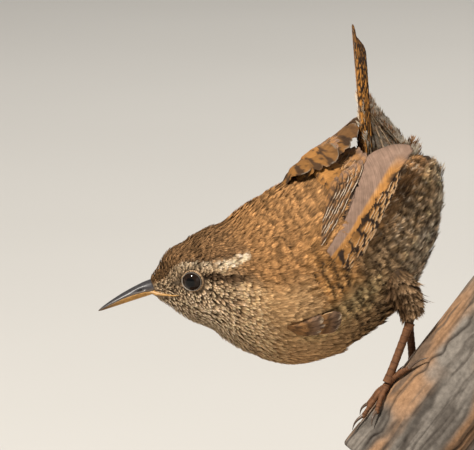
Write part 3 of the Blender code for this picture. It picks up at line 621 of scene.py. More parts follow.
def plant(name, base, heading, length, width, lifts, colours, shape, loose, seed, roots, bands=None):
    """One piece of the coat; roots are the places of its feathers on the unwrapped skin."""
    draw = np.random.default_rng(seed)
    count = len(heading)
    colour, tips, bars, streaks, mottle = colours
    colour = colour * np.exp(mottle * draw.normal(0.0, 1.0, count))[:, None]
    period = np.full(count, BAND if bands is not None else LOOSE_BAND)
    bands = draw.uniform(0.0, 1.0, count) if bands is None else bands
    paint = barred(colour, tips, bars, streaks, mottle, bands, period, draw.normal(1.0, 0.10, count))
    made, order, tint, (s, t) = grow_feathers(base, heading, length, width, lifts, paint, shape, loose, seed + 1)
    patch = roots[:, None] * 0.99 + 0.003 * np.stack((s, t * 0.5 + 0.5), axis=-1)
    piece = mesh_piece(name, made, order, tint, patch)
    add_to(piece, bpy.data.materials["feathers"], "plumage")
    print(name, count, "feathers", len(order), "triangles")


def coat():
    """All contour feathers of head and body, in pieces along it."""
    def keep(along, angle):
        clear = eye_distance(along, angle)[0] > 2.0
        distance, behind, _ = wing_distance(along, angle)
        return clear & ((distance > -0.3) | (behind < 5.0))

    along, angle = scatter(0.3, BODY_LENGTH - 3.0, body_spacing, 21, keep)
    draw = np.random.default_rng(22)
    order = np.argsort(along)
    along, angle = along[order], angle[order]
    count = len(along)
    height, side = side_height(angle)
    base = list(surface(along, angle))
    sunk = np.interp(along, (0.0, 4.0, 8.0, 14.0, 24.0, 60.0, 67.0), (0.10, 0.25, 0.45, 0.3, 0.35, 0.45, 0.3))
    base[0] = base[0] + base[1] * (wing_cover(along, angle) - sunk)[:, None]
    length = np.interp(along, (0.0, 4.0, 9.0, 16.0, 26.0, 45.0, 60.0, 67.0), (1.2, 1.7, 2.4, 3.6, 4.9, 5.6, 5.6, 4.6))
    width = np.interp(along, (0.0, 4.0, 9.0, 16.0, 26.0, 45.0, 67.0), (0.42, 0.5, 0.66, 1.08, 1.65, 1.85, 1.75))
    length = length * draw.uniform(0.85, 1.15, count) * (1.0 - 0.4 * ramp(along, 53.0, 62.0) * ramp(height, -15.0, 20.0))
    width = width * draw.uniform(0.85, 1.15, count)
    distance, away = eye_distance(along, angle)
    near_eye = 1.0 - ramp(distance, 2.4, 5.5)
    length = length * (1.0 - 0.45 * near_eye)
    heading = near_eye * np.clip(away, -1.5, 1.5) * 0.55
    heading = heading + draw.normal(0.0, 0.09, count) + 0.12 * lattice_noise(along * 0.4, height * 0.08, 31)
    fluff = np.clip(ramp(along, 44.0, 58.0) + 0.6 * ramp(along, 22.0, 34.0) * ramp(-height, 0.0, 35.0), 0.0, 1.0)
    depth = np.interp(along, (0.0, 5.0, 12.0, 26.0, 50.0, 67.0), (0.3, 0.45, 0.7, 1.1, 1.5, 1.8))
    tip_lift = 0.12 + 0.75 * fluff * draw.uniform(0.0, 1.0, count) ** 2 + 0.1 * draw.uniform(0, 1, count)
    base[4] = base[4] * (1.0 - 0.45 * fluff * ramp(along, 52.0, 64.0))
    colours = list(markings_and_shade(along + 0.75 * length * ramp(along, 17.0, 25.0), angle))
    colours[3] = np.where(colours[3] < 0.0, colours[3] * 1.8 * (draw.uniform(0.0, 1.0, count) > 0.6), colours[3])
    roots = np.stack((along / (BODY_LENGTH + 2.0), (angle / (2 * math.pi)) % 1.0), axis=-1)
    bands = along / BAND + 0.45 * lattice_noise(along * 0.12, height * 0.05, 33)
    bands = bands + draw.normal(0.0, 0.09, count) * (1.0 + 0.6 * ramp(-height, -2.0, 12.0))
    bands = bands + 0.35 * lattice_noise(along * 0.3, height * 0.15, 34)
    colours[2] = colours[2] * draw.uniform(0.75, 1.15, count)
    for name, start, end, pairs, spread in (
            ("coat_face", 0.0, 9.0, 7, 0.36), ("coat_head", 9.0, 15.0, 8, 0.40), ("coat_neck", 15.0, 23.0, 9, 0.42),
            ("coat_shoulder", 23.0, 31.0, 10, 0.42), ("coat_middle", 31.0, 40.0, 10, 0.42),
            ("coat_back", 40.0, 50.0, 11, 0.48), ("coat_rear", 50.0, 57.0, 11, 0.48), ("coat_rump", 57.0, 70.0, 11, 0.50)):
        chosen = (along >= start) & (along < end)
        plant(name, [value[chosen] for value in base], heading[chosen], length[chosen], width[chosen],
              (-depth[chosen], tip_lift[chosen]), [value[chosen] for value in colours],
              feather_shape(pairs, spread, start >= 15.0), fluff[chosen], int(start) + 60, roots[chosen], bands[chosen])


def sheet(point, u, v):
    """Place, normal, tangents and bends of a surface given by point(u, v), with u along the feathers."""
    step = 0.02
    here = point(u, v)
    fore, aft = point(u - step, v), point(u + step, v)
    low, high = point(u, v - step), point(u, v + step)
    flow, sweep = aft - fore, high - low
    run_size, side_size = np.linalg.norm(flow, axis=-1) / 2, np.linalg.norm(sweep, axis=-1) / 2
    flow = unit(flow)
    side = unit(sweep - (sweep * flow).sum(-1, keepdims=True) * flow)
    normal = np.cross(flow, side)
    run_bend = -((aft + fore - 2 * here) * normal).sum(-1) / run_size ** 2
    side_bend = -((high + low - 2 * here) * normal).sum(-1) / side_size ** 2
    return [here, normal, flow, side, run_bend, side_bend]


def thigh_axis(side_name):
    heel, _, hip, _ = LEGS[side_name]
    hip, heel = np.array(hip), np.array(heel)
    return hip, unit(heel - hip), np.linalg.norm(heel - hip)


def thigh_surface(side_name):
    """Surface of a thigh and the top of its shank, as a function of shares along and turns round it."""
    hip, aim, reach = thigh_axis(side_name)
    first = unit(np.cross(aim, (0.0, 0.0, 1.0)))
    second = np.cross(aim, first)

    def point(u, v):
        radius = np.interp(u, (0.0, 0.25, 0.5, 0.75, 1.0, 1.15), (3.0, 3.3, 3.1, 2.4, 1.6, 1.3))[..., None]
        swell = np.array((1.2, 0.0, 0.0)) * np.sin(math.pi * np.clip(u, 0, 1) ** 1.5)[..., None]
        return (hip + aim * (reach * u)[..., None] + swell
                + (first * np.cos(v)[..., None] + second * np.sin(v)[..., None]) * radius)

    return point


def thigh_coat(side_name, count, seed):
    """Loose tufts over a thigh and round the top of its shank."""
    hip, aim, reach = thigh_axis(side_name)
    point = thigh_surface(side_name)
    draw = np.random.default_rng(seed)
    u = draw.uniform(0.0, 0.80, count)
    v = draw.uniform(-math.pi, math.pi, count)
    base = sheet(point, u, -v)
    outward = base[0] - (hip + aim * (reach * u)[..., None])
    base[1] = base[1] * np.sign((base[1] * outward).sum(-1, keepdims=True))
    ones = np.ones(count)
    rim = ramp(np.cos(v - 2.4), 0.2, 0.9)
    colour = mix(np.array((0.11, 0.060, 0.028)), np.array((0.22, 0.13, 0.065)), rim)
    colours = (colour, 0.05 + 0.3 * rim, 0.2 * ones, 0.0 * ones, 0.15 * ones)
    length = draw.uniform(1.7, 2.6, count) * (1.0 - 0.35 * ramp(u, 0.6, 0.8))
    plant("coat_thigh_" + side_name, base, draw.normal(0.0, 0.15, count), length, length * 0.42,
          (-0.8 * ones, 0.05 + 0.3 * draw.uniform(0, 1, count) ** 2), colours, feather_shape(9, 0.5), ones, seed + 1,
          np.stack((0.55 + 0.1 * u, (0.75 + 0.02 * v) % 1.0), axis=-1))


def tail_axes():
    aim = unit(TAIL_AIM)
    side = unit(LEFT - LEFT.dot(aim) * aim)
    return aim, side, np.cross(side, aim)


def undertail_surface(u, v):
    """Wedge under the tail; its turns from 0 to a half are the underside, the rest lies in the tail."""
    aim, side, face = tail_axes()
    depth = 9.3 * (1.0 - np.clip(u, 0, 1)) ** 1.15 + 1.3
    half = 2.5 - 0.5 * u
    down = 0.4 + np.where(np.sin(v) > 0, depth * np.abs(np.sin(v)) ** 0.8, 0.3 * np.sin(v))
    return (TAIL_ROOT + aim * (2.2 + 14.5 * u)[..., None] + side * (half * np.cos(v))[..., None]
            - face * down[..., None])


def tail_coverts():
    """Soft coverts under the tail and over its root."""
    aim, side, face = tail_axes()
    draw = np.random.default_rng(71)

    count = 520
    u = draw.uniform(-0.12, 0.86, count)
    v = np.arcsin(draw.uniform(0.0, 1.0, count) ** 0.8)
    v = np.where(draw.uniform(0, 1, count) < 0.5, v, math.pi - v)
    base = sheet(undertail_surface, u, v)
    centre = TAIL_ROOT + aim * (2.2 + 14.5 * u)[..., None] - face * 3.0
    base[1] = base[1] * np.sign((base[1] * (base[0] - centre)).sum(-1, keepdims=True))
    base[4] = base[4] * 0.2
    base[5] = np.clip(base[5], -0.3, 0.3)
    ones = np.ones(count)
    colour = mix(np.array((0.26, 0.12, 0.045)), np.array((1.0, 0.86, 0.66)), ramp(draw.uniform(0, 1, count), 0.3, 0.5))
    length = draw.uniform(3.2, 5.0, count) * (1.0 - 0.3 * np.clip(u, 0, 1))
    plant("coat_undertail", base, draw.normal(0.0, 0.12, count), length, length * 0.48,
          (-0.35 * ones, 0.35 + 0.4 * draw.uniform(0, 1, count)), (colour, 0.9 * ones, 0.55 * ones, 0.0 * ones, 0.12 * ones),
          feather_shape(10, 0.46), 0.8 * ones, 72, np.stack((0.97 + 0.02 * u, (0.75 + 0.04 * v) % 1.0), axis=-1))

    def over(u, v):
        return (TAIL_ROOT + aim * (-2.0 + 9.0 * u)[..., None] + side * (2.3 * np.cos(v))[..., None]
                + face * (0.9 * np.sin(v) * (1.2 - u) + 0.3)[..., None])

    count = 150
    u, v = draw.uniform(-0.1, 0.75, count), draw.uniform(0.1, math.pi - 0.1, count)
    base = sheet(over, u, v)
    base[1] = base[1] * np.sign((base[1] * face).sum(-1, keepdims=True))
    base[4], base[5] = base[4] * 0.2, np.clip(base[5], -0.3, 0.3)
    ones = np.ones(count)
    plant("coat_uppertail", base, draw.normal(0.0, 0.12, count), draw.uniform(2.8, 4.2, count), 1.5 * ones,
          (-0.5 * ones, 0.15 * ones), (np.array((0.36, 0.17, 0.06)) * ones[:, None], 0.1 * ones, 0.8 * ones,
                                       0.0 * ones, 0.2 * ones),
          feather_shape(10, 0.46), 0.5 * ones, 75, np.stack((0.95 + 0.02 * u, (0.25 + 0.02 * v) % 1.0), axis=-1))


# Skin

def skin():
    """One closed skin under the coat of head, neck, body and thighs."""
    rows, sides = 150, 96
    along = np.linspace(0.0, BODY_LENGTH, rows)
    angle = np.linspace(0.0, 2 * math.pi, sides, endpoint=False)
    grid_along, grid_angle = np.meshgrid(along, angle, indexing="ij")
    depth = np.interp(grid_along, (0.0, 5.0, 12.0, 26.0, 50.0, BODY_LENGTH), (0.35, 0.7, 1.2, 1.5, 1.9, 1.0))
    points = body_point(grid_along, grid_angle, 0.0)
    centre = body_frame(along)[0][:, None]
    reach = np.linalg.norm(points - centre, axis=-1)
    points = centre + (points - centre) * (1.0 - np.minimum(depth, 0.6 * reach) / np.maximum(reach, 0.1))[..., None]
    distance, _ = eye_distance(grid_along, grid_angle)
    points = points - (points - centre) * (0.30 * (1.0 - ramp(distance, 1.2, 2.3)))[..., None]
    colour = markings_and_shade(grid_along, grid_angle)[0] * 0.25
    order = grid_triangles(rows, sides, True)
    ends = np.stack((points[0].mean(axis=0), points[-1].mean(axis=0)))
    first = rows * sides
    turn = np.arange(sides)
    caps = np.concatenate((np.stack((np.full(sides, first), (turn + 1) % sides, turn), axis=-1),
                           np.stack((np.full(sides, first + 1), (rows - 1) * sides + turn,
                                     (rows - 1) * sides + (turn + 1) % sides), axis=-1)))
    shells = [(np.concatenate((points.reshape(-1, 3), ends)), np.concatenate((order, caps)))]
    tints = [np.concatenate((colour.reshape(-1, 3), colour[0, :1], colour[-1, :1]))]
    unwrap = np.stack((grid_along / (BODY_LENGTH + 2.0), grid_angle / (2 * math.pi)), axis=-1).reshape(-1, 2)
    patches = [np.concatenate((unwrap, unwrap[:1], unwrap[-1:]))]
    turn = np.linspace(0.0, 2 * math.pi, 32, endpoint=False)
    share = np.linspace(0.0, 1.0, 30)
    for surface_point, end in ((thigh_surface("left"), 1.0), (thigh_surface("right"), 1.0), (undertail_surface, 0.85)):
        rings = []
        for u in share * end:
            ring = surface_point(np.full(32, u), turn)
            middle = ring.mean(axis=0)
            reach = np.linalg.norm(ring - middle, axis=-1, keepdims=True)
            rings.append(middle + (ring - middle) * (1.0 - np.minimum(0.8, 0.6 * reach) / np.maximum(reach, 0.1)))
        core, faces = loft(rings)
        shells.append((core, faces))
        tints.append(np.broadcast_to(np.array((0.07, 0.04, 0.02)), core.shape))
        patches.append(np.full((len(core), 2), 0.985))
    size, gathered = 0, []
    for core, faces in shells:
        gathered.append(faces + size)
        size += len(core)
    piece = mesh_piece("skin", np.concatenate([core for core, _ in shells]), np.concatenate(gathered),
                       np.concatenate(tints), np.concatenate(patches), True)
    look = Look("skin", 0.8, 0.3)
    look.colour(look.scaled(look.attribute(), look.span(look.noise(700.0, 4.0), 0.3, 0.7, 0.75, 1.2)))
    look.bump(look.noise(2600.0, 3.0), 0.5, 0.0002)
    add_to(piece, look.material, "plumage", "head", "neck", "torso", "rump", "thigh_left", "thigh_right")


def grid_triangles(rows, columns, closed):
    """Triangles of a grid of points, closed round its columns or open."""
    row = np.arange(rows - 1)[:, None]
    column = np.arange(columns if closed else columns - 1)[None]
    a = row * columns + column
    b = row * columns + (column + 1) % columns
    lower = np.stack((a, b, b + columns), axis=-1).reshape(-1, 3)
    upper = np.stack((a, b + columns, a + columns), axis=-1).reshape(-1, 3)
    return np.concatenate((lower, upper))


# Flight feathers

class Plates:
    """Feathers with whole vanes, gathered into one piece."""

    def __init__(self):
        self.points, self.triangles, self.tints, self.patches, self.vanes = [], [], [], [], []
        self.size = 0
        self.count = 0

    def add(self, place, width, length, paint, seed, shape=(0.45, 0.35, 0.74, 2.4, 0.1), thick=0.16,
            camber=0.1, splits=3, columns=17, step=0.38, shaft=0.0, inside=None):
        """place(share, offset, lift) gives the points; paint(share, offset) the colours."""
        draw = np.random.default_rng(seed)
        rows = max(10, int(length / step))
        s = 1.0 - (1.0 - np.linspace(0.0, 1.0, rows)) ** 1.15
        t = np.linspace(-1.0, 1.0, columns)
        t = np.sign(t) * (1.0 - (1.0 - np.abs(t)) ** 1.6)
        s, t = np.meshgrid(s, t, indexing="ij")
        root_width, full, tip_start, tip_round, end_width = shape
        half = root_width + (1.0 - root_width) * np.sin(math.pi / 2 * np.minimum(1.0, s / full))
        gone = np.clip((s - tip_start) / (1.0 - tip_start), 0.0, 1.0)
        half = half * np.maximum(np.sqrt(np.maximum(0.0, 1.0 - gone ** tip_round)), end_width)
        frayed = 0.05 * lattice_noise(s * length * 1.3, t + 2.0, seed) * ramp(np.abs(t), 0.6, 1.0)
        half = half * (1.0 + frayed - 0.03 * np.abs(t) * (np.arange(rows) % 2)[:, None])
        notch = np.zeros_like(s)
        for _ in range(splits):
            edge, centre, depth = draw.choice((-1.0, 1.0)), draw.uniform(0.3, 0.97), draw.uniform(0.08, 0.3)
            notch += depth * hump(s, centre, 0.35 / length) * (t * edge > 0)
        half = half * (1.0 - np.clip(notch, 0.0, 0.5))
        across = t * half * width / 2
        ahead = s + 0.0 * t
        body = thick * (1.0 - 0.5 * s ** 3) * (1.0 - 0.6 * t ** 2)
        rib = 0.07 * np.exp(-((t - shaft) / 0.09) ** 2) * (1.0 - s)
        crown = camber * (1.0 - t ** 2)
        ripple = 0.02 * np.sin((s * length - 1.2 * np.abs(t - shaft) * width / 2) * 5.5)
        outer = place(ahead, across, crown + body + rib + ripple)
        inner = place(ahead, across, crown)
        count = s.size
        order = grid_triangles(rows, columns, False)
        border = np.concatenate((np.arange(columns), np.arange(1, rows) * columns + columns - 1,
                                 (rows - 1) * columns + np.arange(columns - 2, -1, -1),
                                 np.arange(rows - 2, 0, -1) * columns))
        after = np.roll(border, -1)
        rim = np.concatenate((np.stack((border, after, after + count), axis=-1),
                              np.stack((border, after + count, border + count), axis=-1)))
        order = np.concatenate((order, order[:, ::-1] + count, rim[:, ::-1]))
        colour = paint(s, t)
        self.points += [outer.reshape(-1, 3), inner.reshape(-1, 3)]
        self.triangles.append(order + self.size)
        below = colour * 0.75 if inside is None else mix(colour, inside, np.full(s.shape, 0.8))
        self.tints += [colour.reshape(-1, 3), below.reshape(-1, 3)]
        cell = np.array((self.count % 8, self.count // 8)) * 0.125
        flat = np.stack((t * 0.055 + 0.0625, s * 0.11 + 0.0075), axis=-1).reshape(-1, 2) + cell
        self.patches += [flat, flat]
        fine = np.stack((s * length, across - shaft * width / 2), axis=-1).reshape(-1, 2)
        self.vanes += [fine, fine]
        self.size += 2 * count
        self.count += 1

    def build(self, name, look, slot, *replaced):
        order = np.concatenate(self.triangles)
        piece = mesh_piece(name, np.concatenate(self.points), order, np.concatenate(self.tints),
                           np.concatenate(self.patches), True)
        layer = piece.data.uv_layers.new(name="vane")
        layer.data.foreach_set("uv", np.concatenate(self.vanes).astype(np.float32)[order.ravel()].ravel())
        print(name, self.count, "vanes", len(order), "triangles")
        return add_to(piece, look, slot, *replaced)


def vane_look():
    """Flight feathers: oblique barbs either side of the shaft, raised and slightly streaked."""
    look = Look("vanes", 0.65, 0.08)
    flat = look.node("UVMap", uv_map="vane").outputs["UV"]
    parts = look.node("SeparateXYZ")
    look.links.new(flat, parts.inputs["Vector"])
    slant = look.math("SUBTRACT", parts.outputs["X"], look.math("MULTIPLY", look.math("ABSOLUTE", parts.outputs["Y"]), 1.9))
    barbs = look.math("SINE", look.math("MULTIPLY", slant, 2 * math.pi / 0.28))
    joined = look.node("CombineXYZ")
    look.links.new(slant, joined.inputs["X"])
    look.links.new(look.math("MULTIPLY", parts.outputs["Y"], 0.12), joined.inputs["Y"])
    streak = look.noise(2.6, 3.0, 0.6, None, joined.outputs["Vector"])
    mottle = look.span(look.noise(700.0, 3.0), 0.3, 0.7, 0.85, 1.15)
    tone = look.math("MULTIPLY", look.span(streak, 0.3, 0.7, 0.72, 1.25), mottle)
    tone = look.math("MULTIPLY", tone, look.span(barbs, -1.0, 1.0, 0.94, 1.04))
    look.colour(look.scaled(look.attribute(), tone))
    look.bump(barbs, 0.2, 0.00005)
    return look.material


CHECK_CREAM = np.array((0.56, 0.38, 0.19))
CHECK_DARK = np.array((0.032, 0.02, 0.014))
MAUVE = np.array((0.225, 0.145, 0.105))
ORANGE = np.array((0.44, 0.205, 0.06))
TERTIAL = np.array((0.33, 0.165, 0.065))
FRINGE = np.array((0.58, 0.48, 0.37))
RUFOUS = np.array((0.46, 0.20, 0.042))


def vane_paint(kind, length, seed, inner_share=0.5):
    """Colours of one flight feather of a kind; offsets below 0 are its outer, lower web."""
    draw = np.random.default_rng(seed)
    shade = draw.uniform(0.88, 1.12) if kind != "undertail" else draw.choice((0.35, 0.9, 1.3))
    phase = draw.uniform(-0.22, 0.22)

    def paint(s, t):
        run = s * length
        jag = 0.25 * lattice_noise(run * 1.4, t * 3.0, seed)
        outer = 1.0 - ramp(t, -0.12, 0.02)
        shaft = np.exp(-(t / 0.07) ** 2)
        if kind == "primary":
            wave = np.sin(2 * math.pi * ((length - run) / 3.3 + phase * 1.3 + 0.7 * jag + 0.5 * t))
            bar = ramp(wave + 0.3 * np.sin(run * 0.9 + seed), 0.3, 0.6)
            web = mix(CHECK_CREAM, ORANGE * 0.85, np.clip(0.4 + 0.7 * inner_share + 1.6 * jag, 0.0, 1.0))
            web = mix(web, CHECK_DARK, bar)
            shaded = ramp(run, 8.0 + 6.0 * inner_share, 13.0 + 7.0 * inner_share)
            web = mix(web, CHECK_DARK * 0.6, ramp(t + 0.35 * jag, -0.86, -0.74) * (0.25 + 0.72 * shaded))
            inner = mix(CHECK_DARK * 2.6, CHECK_CREAM * 0.45, 1.0 - bar)
            colour = mix(inner, web, outer)
            colour = mix(colour, CHECK_DARK, 0.7 * shaft)
            colour = mix(colour, WHITISH, (1.0 - ramp(t, -0.99, -0.93)) * (1.0 - bar) * 0.6)
            colour = mix(colour, CHECK_DARK * 1.5, ramp(s, 0.88, 0.98) * 0.7)
        elif kind == "mauve":
            spots = ramp(np.sin(2 * math.pi * (run / 4.4 + 0.15) + 3.0 * jag), 0.5, 0.8)
            web = mix(ORANGE * 0.95, CHECK_DARK, spots * ramp(-t, 0.7, 0.85) * 0.85)
            colour = mix(MAUVE * 1.08, MAUVE * 0.72, ramp(np.sin(run * 1.9 + 2.0 * t), 0.2, 1.0) * 0.2)
            colour = mix(colour, web, (1.0 - ramp(t, -0.52, -0.44)) * (1.0 - ramp(s, 0.8, 0.93)))
            colour = mix(colour, FRINGE, hump(t, -0.46, 0.05) * ramp(jag, -0.12, 0.05) * 0.8)
            colour = mix(colour, CHECK_DARK, (1.0 - ramp(t, -0.99, -0.94)) * 0.8)
            colour = mix(colour, MAUVE * 0.55, ramp(s, 0.97, 1.0) * 0.6)
            colour = mix(colour, CHECK_DARK * 1.3, ramp(t, 0.92, 0.97) * 0.8)
        elif kind == "secondary":
            wave = np.sin(2 * math.pi * ((length - run) / 3.2 + phase + jag))
            bar = ramp(wave, 0.3, 0.65)
            web = mix(mix(CHECK_CREAM, ORANGE, 0.8), CHECK_DARK, bar)
            web = mix(web, CHECK_DARK, ramp(t, -0.70, -0.55) * ramp(run, 13.0, 19.0) * 0.9)
            colour = mix(MAUVE * 0.95, web, np.maximum(outer, 1.0 - ramp(run, 13.0, 18.0)))
            colour = mix(colour, CHECK_DARK, 0.4 * shaft)
        elif kind in ("tertial", "inner"):
            wave = np.sin(2 * math.pi * ((length - run) / 2.4 + phase + jag))
            colour = mix(TERTIAL, CHECK_DARK * 1.6, ramp(wave, 0.25, 0.6) * 0.7)
            broken = 0.1 + 0.9 * ramp(np.sin(run * 1.3 + seed) + jag * 4.0, -0.4, 0.4)
            line = 1.0 if kind == "tertial" else 0.3
            colour = mix(colour, CHECK_DARK * 0.7, hump(t, -0.80, 0.13) * 0.97 * line)
            colour = mix(colour, FRINGE, (1.0 - ramp(t, -0.97, -0.92)) * broken * line)
            colour = mix(colour, MAUVE, ramp(s, 0.90, 1.0) * 0.8)
            colour = mix(colour, CHECK_DARK, 0.4 * shaft)
        elif kind == "covert":
            wave = np.sin(2 * math.pi * ((length - run) / 2.4 + phase + jag))
            colour = mix(ORANGE * 0.85, CHECK_DARK * 1.2, ramp(wave, 0.1, 0.5) * 0.85)
            colour = mix(colour, WHITISH, ramp(s, 0.90, 0.97) * hump(t, -0.1, 0.35) * 0.7)
            colour = mix(colour, CHECK_DARK, (ramp(s, 0.80, 0.86) - ramp(s, 0.9, 0.94)) * 0.6)
        elif kind == "alula":
            wave = np.sin(2 * math.pi * ((length - run) / 2.2 + phase + jag))
            colour = mix(TERTIAL * 0.75, MAUVE * 0.6, ramp(s, 0.4, 0.8) * 0.8)
            colour = mix(colour, CHECK_DARK, 0.6 * ramp(wave, 0.2, 0.6))
            edge = np.maximum(ramp(np.abs(t), 0.88, 0.97), ramp(s, 0.94, 0.99))
            colour = mix(colour, BUFF, edge * ramp(jag, -0.1, 0.1) * 0.9)
            colour = mix(colour, WHITISH * 0.9, hump(s, 0.93, 0.06) * hump(t, -0.5, 0.5) * ramp(jag, -0.05, 0.1))
            colour = mix(colour, CHECK_DARK, 0.5 * shaft)
        elif kind == "scapular":
            spots = ramp(np.sin(2 * math.pi * (run / 3.4 + phase + 0.35 * jag)) + 0.7 * t, 0.35, 0.8)
            colour = mix(ORANGE * 0.8, CHECK_DARK * 1.2, spots * 0.9)
            colour = mix(colour, FRINGE * 0.7, ramp(t, 0.92, 0.97) * 0.7)
            colour = mix(colour, TERTIAL, (1.0 - ramp(s, 0.1, 0.5)) * 0.7)
        elif kind == "lobe":
            wave = np.sin(2 * math.pi * ((length - run) / 3.0 + phase + jag))
            colour = mix(ORANGE * 0.55, TERTIAL * 0.45, ramp(s, 0.45, 0.8) * (1.0 - 0.8 * inner_share))
            colour = mix(colour, CHECK_DARK, ramp(wave + 0.5 * t, 0.2, 0.6) * 0.85 * (1.0 - 0.6 * ramp(s, 0.75, 0.9)))
            rim = np.maximum(ramp(s, 0.95, 0.99), ramp(np.abs(t), 0.92, 0.97) * ramp(s, 0.5, 0.7))
            colour = mix(colour, FRINGE * 0.35, rim * ramp(jag, -0.1, 0.1) * 0.8)
        elif kind == "rectrix":
            wave = np.sin(2 * math.pi * ((length - run) / 2.3 + phase * 2.0 + jag * 2.2 + 0.5 * np.abs(t)))
            colour = mix(RUFOUS * 1.15, CHECK_DARK * 0.5, ramp(wave, 0.12, 0.45) * 0.98)
            # Painted shadow: dark along both edges, for the gaps between overlapping tail feathers
            colour = mix(colour, CHECK_DARK * 0.5, ramp(np.abs(t), 0.78, 0.92) * 0.95)
            colour = mix(colour, CHECK_DARK, np.minimum(1.0, 0.7 * shaft + 0.6 * ramp(s, 0.7, 1.0)))
            colour = mix(colour, FRINGE * 0.7, (1.0 - ramp(np.abs(t), 0.02, 0.05)) * ramp(jag, 0.05, 0.15) * 0.6)
        else:
            wave = np.sin(2 * math.pi * ((length - run) / 2.6 + phase + jag))
            colour = mix(mix(BUFF, WHITISH, 0.6), CHECK_DARK, ramp(wave, 0.4, 0.75) * 0.9)
            colour = mix(colour, CREAM * 1.1, ramp(s, 0.78, 0.86) * 0.9)
        return np.clip(colour * shade * (1.0 + 0.12 * jag)[..., None], 0.0, 1.0)

    return paint


def wing_point(side, along, arc, lift):
    """Points over the body at an arc length up from its side line."""
    _, stand_off, droop = WING_HOLD[side]
    angle = (arc - droop * (1.0 - np.clip((along - DROOP[0]) / DROOP[1], 0.0, 1.0))) / WING_RADIUS
    if side == "right":
        angle = math.pi - angle
    inside = np.minimum(along, WING_REACH)
    off = stand_off * np.clip((along - STAND_OFF[0]) / STAND_OFF[1], 0.0, 1.0) ** 1.5
    return body_point(inside, angle, WING_CLEARANCE + lift + off) + body_frame(inside)[1] * (along - inside)[..., None]


# Feathers of a folded wing, from its lowest layer to its highest: kind, count, roots from first to
# last, tips from first by a guide point to last, widths, lifts and tilt across
WING_FEATHERS = (
    ("primary", 10, (35.0, 1.2), (27.5, 1.6), (46.0, 7.0), (64.0, 11.6), (60.5, 15.5), (3.0, 4.2), (-0.15, 0.25), 0.16),
    ("secondary", 4, (27.5, 2.0), (29.0, 6.0), (59.5, 16.0), (59.5, 16.6), (59.5, 17.2), (4.0, 4.4), (-0.1, 0.0), 0.06),
    ("inner", 6, (34.0, 15.0), (38.0, 22.0), (56.5, 20.5), (57.0, 24.5), (54.0, 27.0), (3.6, 4.2), (0.35, 0.6), 0.12),
    ("mauve", 1, (29.5, 3.9), (29.5, 3.9), (61.5, 16.9), (61.5, 16.9), (61.5, 16.9), (10.2, 10.2), (0.35, 0.35), 0.07),
    ("tertial", 6, (32.3, 7.9), (31.1, 10.1), (54.6, 19.6), (51.6, 19.5), (48.6, 19.3), (3.2, 3.6), (0.62, 0.95), 0.12),
    ("primary_covert", 4, (27.0, -4.0), (27.5, -2.2), (31.8, -5.8), (33.0, -5.2), (33.2, -3.8), (2.0, 2.3), (0.3, 0.42), 0.09),
    ("alula", 3, (23.2, -2.7), (23.6, -1.3), (28.8, -4.7), (29.6, -3.9), (29.6, -2.5), (2.0, 2.3), (0.45, 0.6), 0.09),
    ("scapular", 5, (40.0, 16.5), (42.0, 24.0), (49.5, 19.5), (51.5, 22.5), (50.0, 26.0), (3.4, 4.0), (0.85, 1.05), 0.10),
)
WING_KINDS = {"primary_covert": "alula"}
VANE_SHAPE = (0.45, 0.35, 0.74, 2.4, 0.1)
VANE_SHAPES = {"mauve": (0.15, 2.2, 0.90, 2.4, 0.1)}
# Line where the wing comes out of the coat, as arcs and lengths along the body
WING_FRONT = np.array(((-10.0, 24.0), (-2.1, 24.0), (-1.7, 30.0), (-1.2, 36.3), (1.5, 37.2), (5.0, 36.2), (8.5, 35.8), (11.8, 38.5),
                       (15.2, 42.0), (17.5, 44.5), (22.0, 44.5), (27.0, 45.5)))
# Feathers of the far wing that lap over the back: root, tip, width and lift
LOBES = ((45.5, 24.5, 59.5, 24.8, 8.4, 0.7), (41.5, 25.5, 53.0, 27.0, 9.0, 1.1), (38.0, 24.5, 46.5, 26.6, 7.0, 1.1),
         (36.6, 21.4, 47.0, 22.6, 8.0, 0.3))


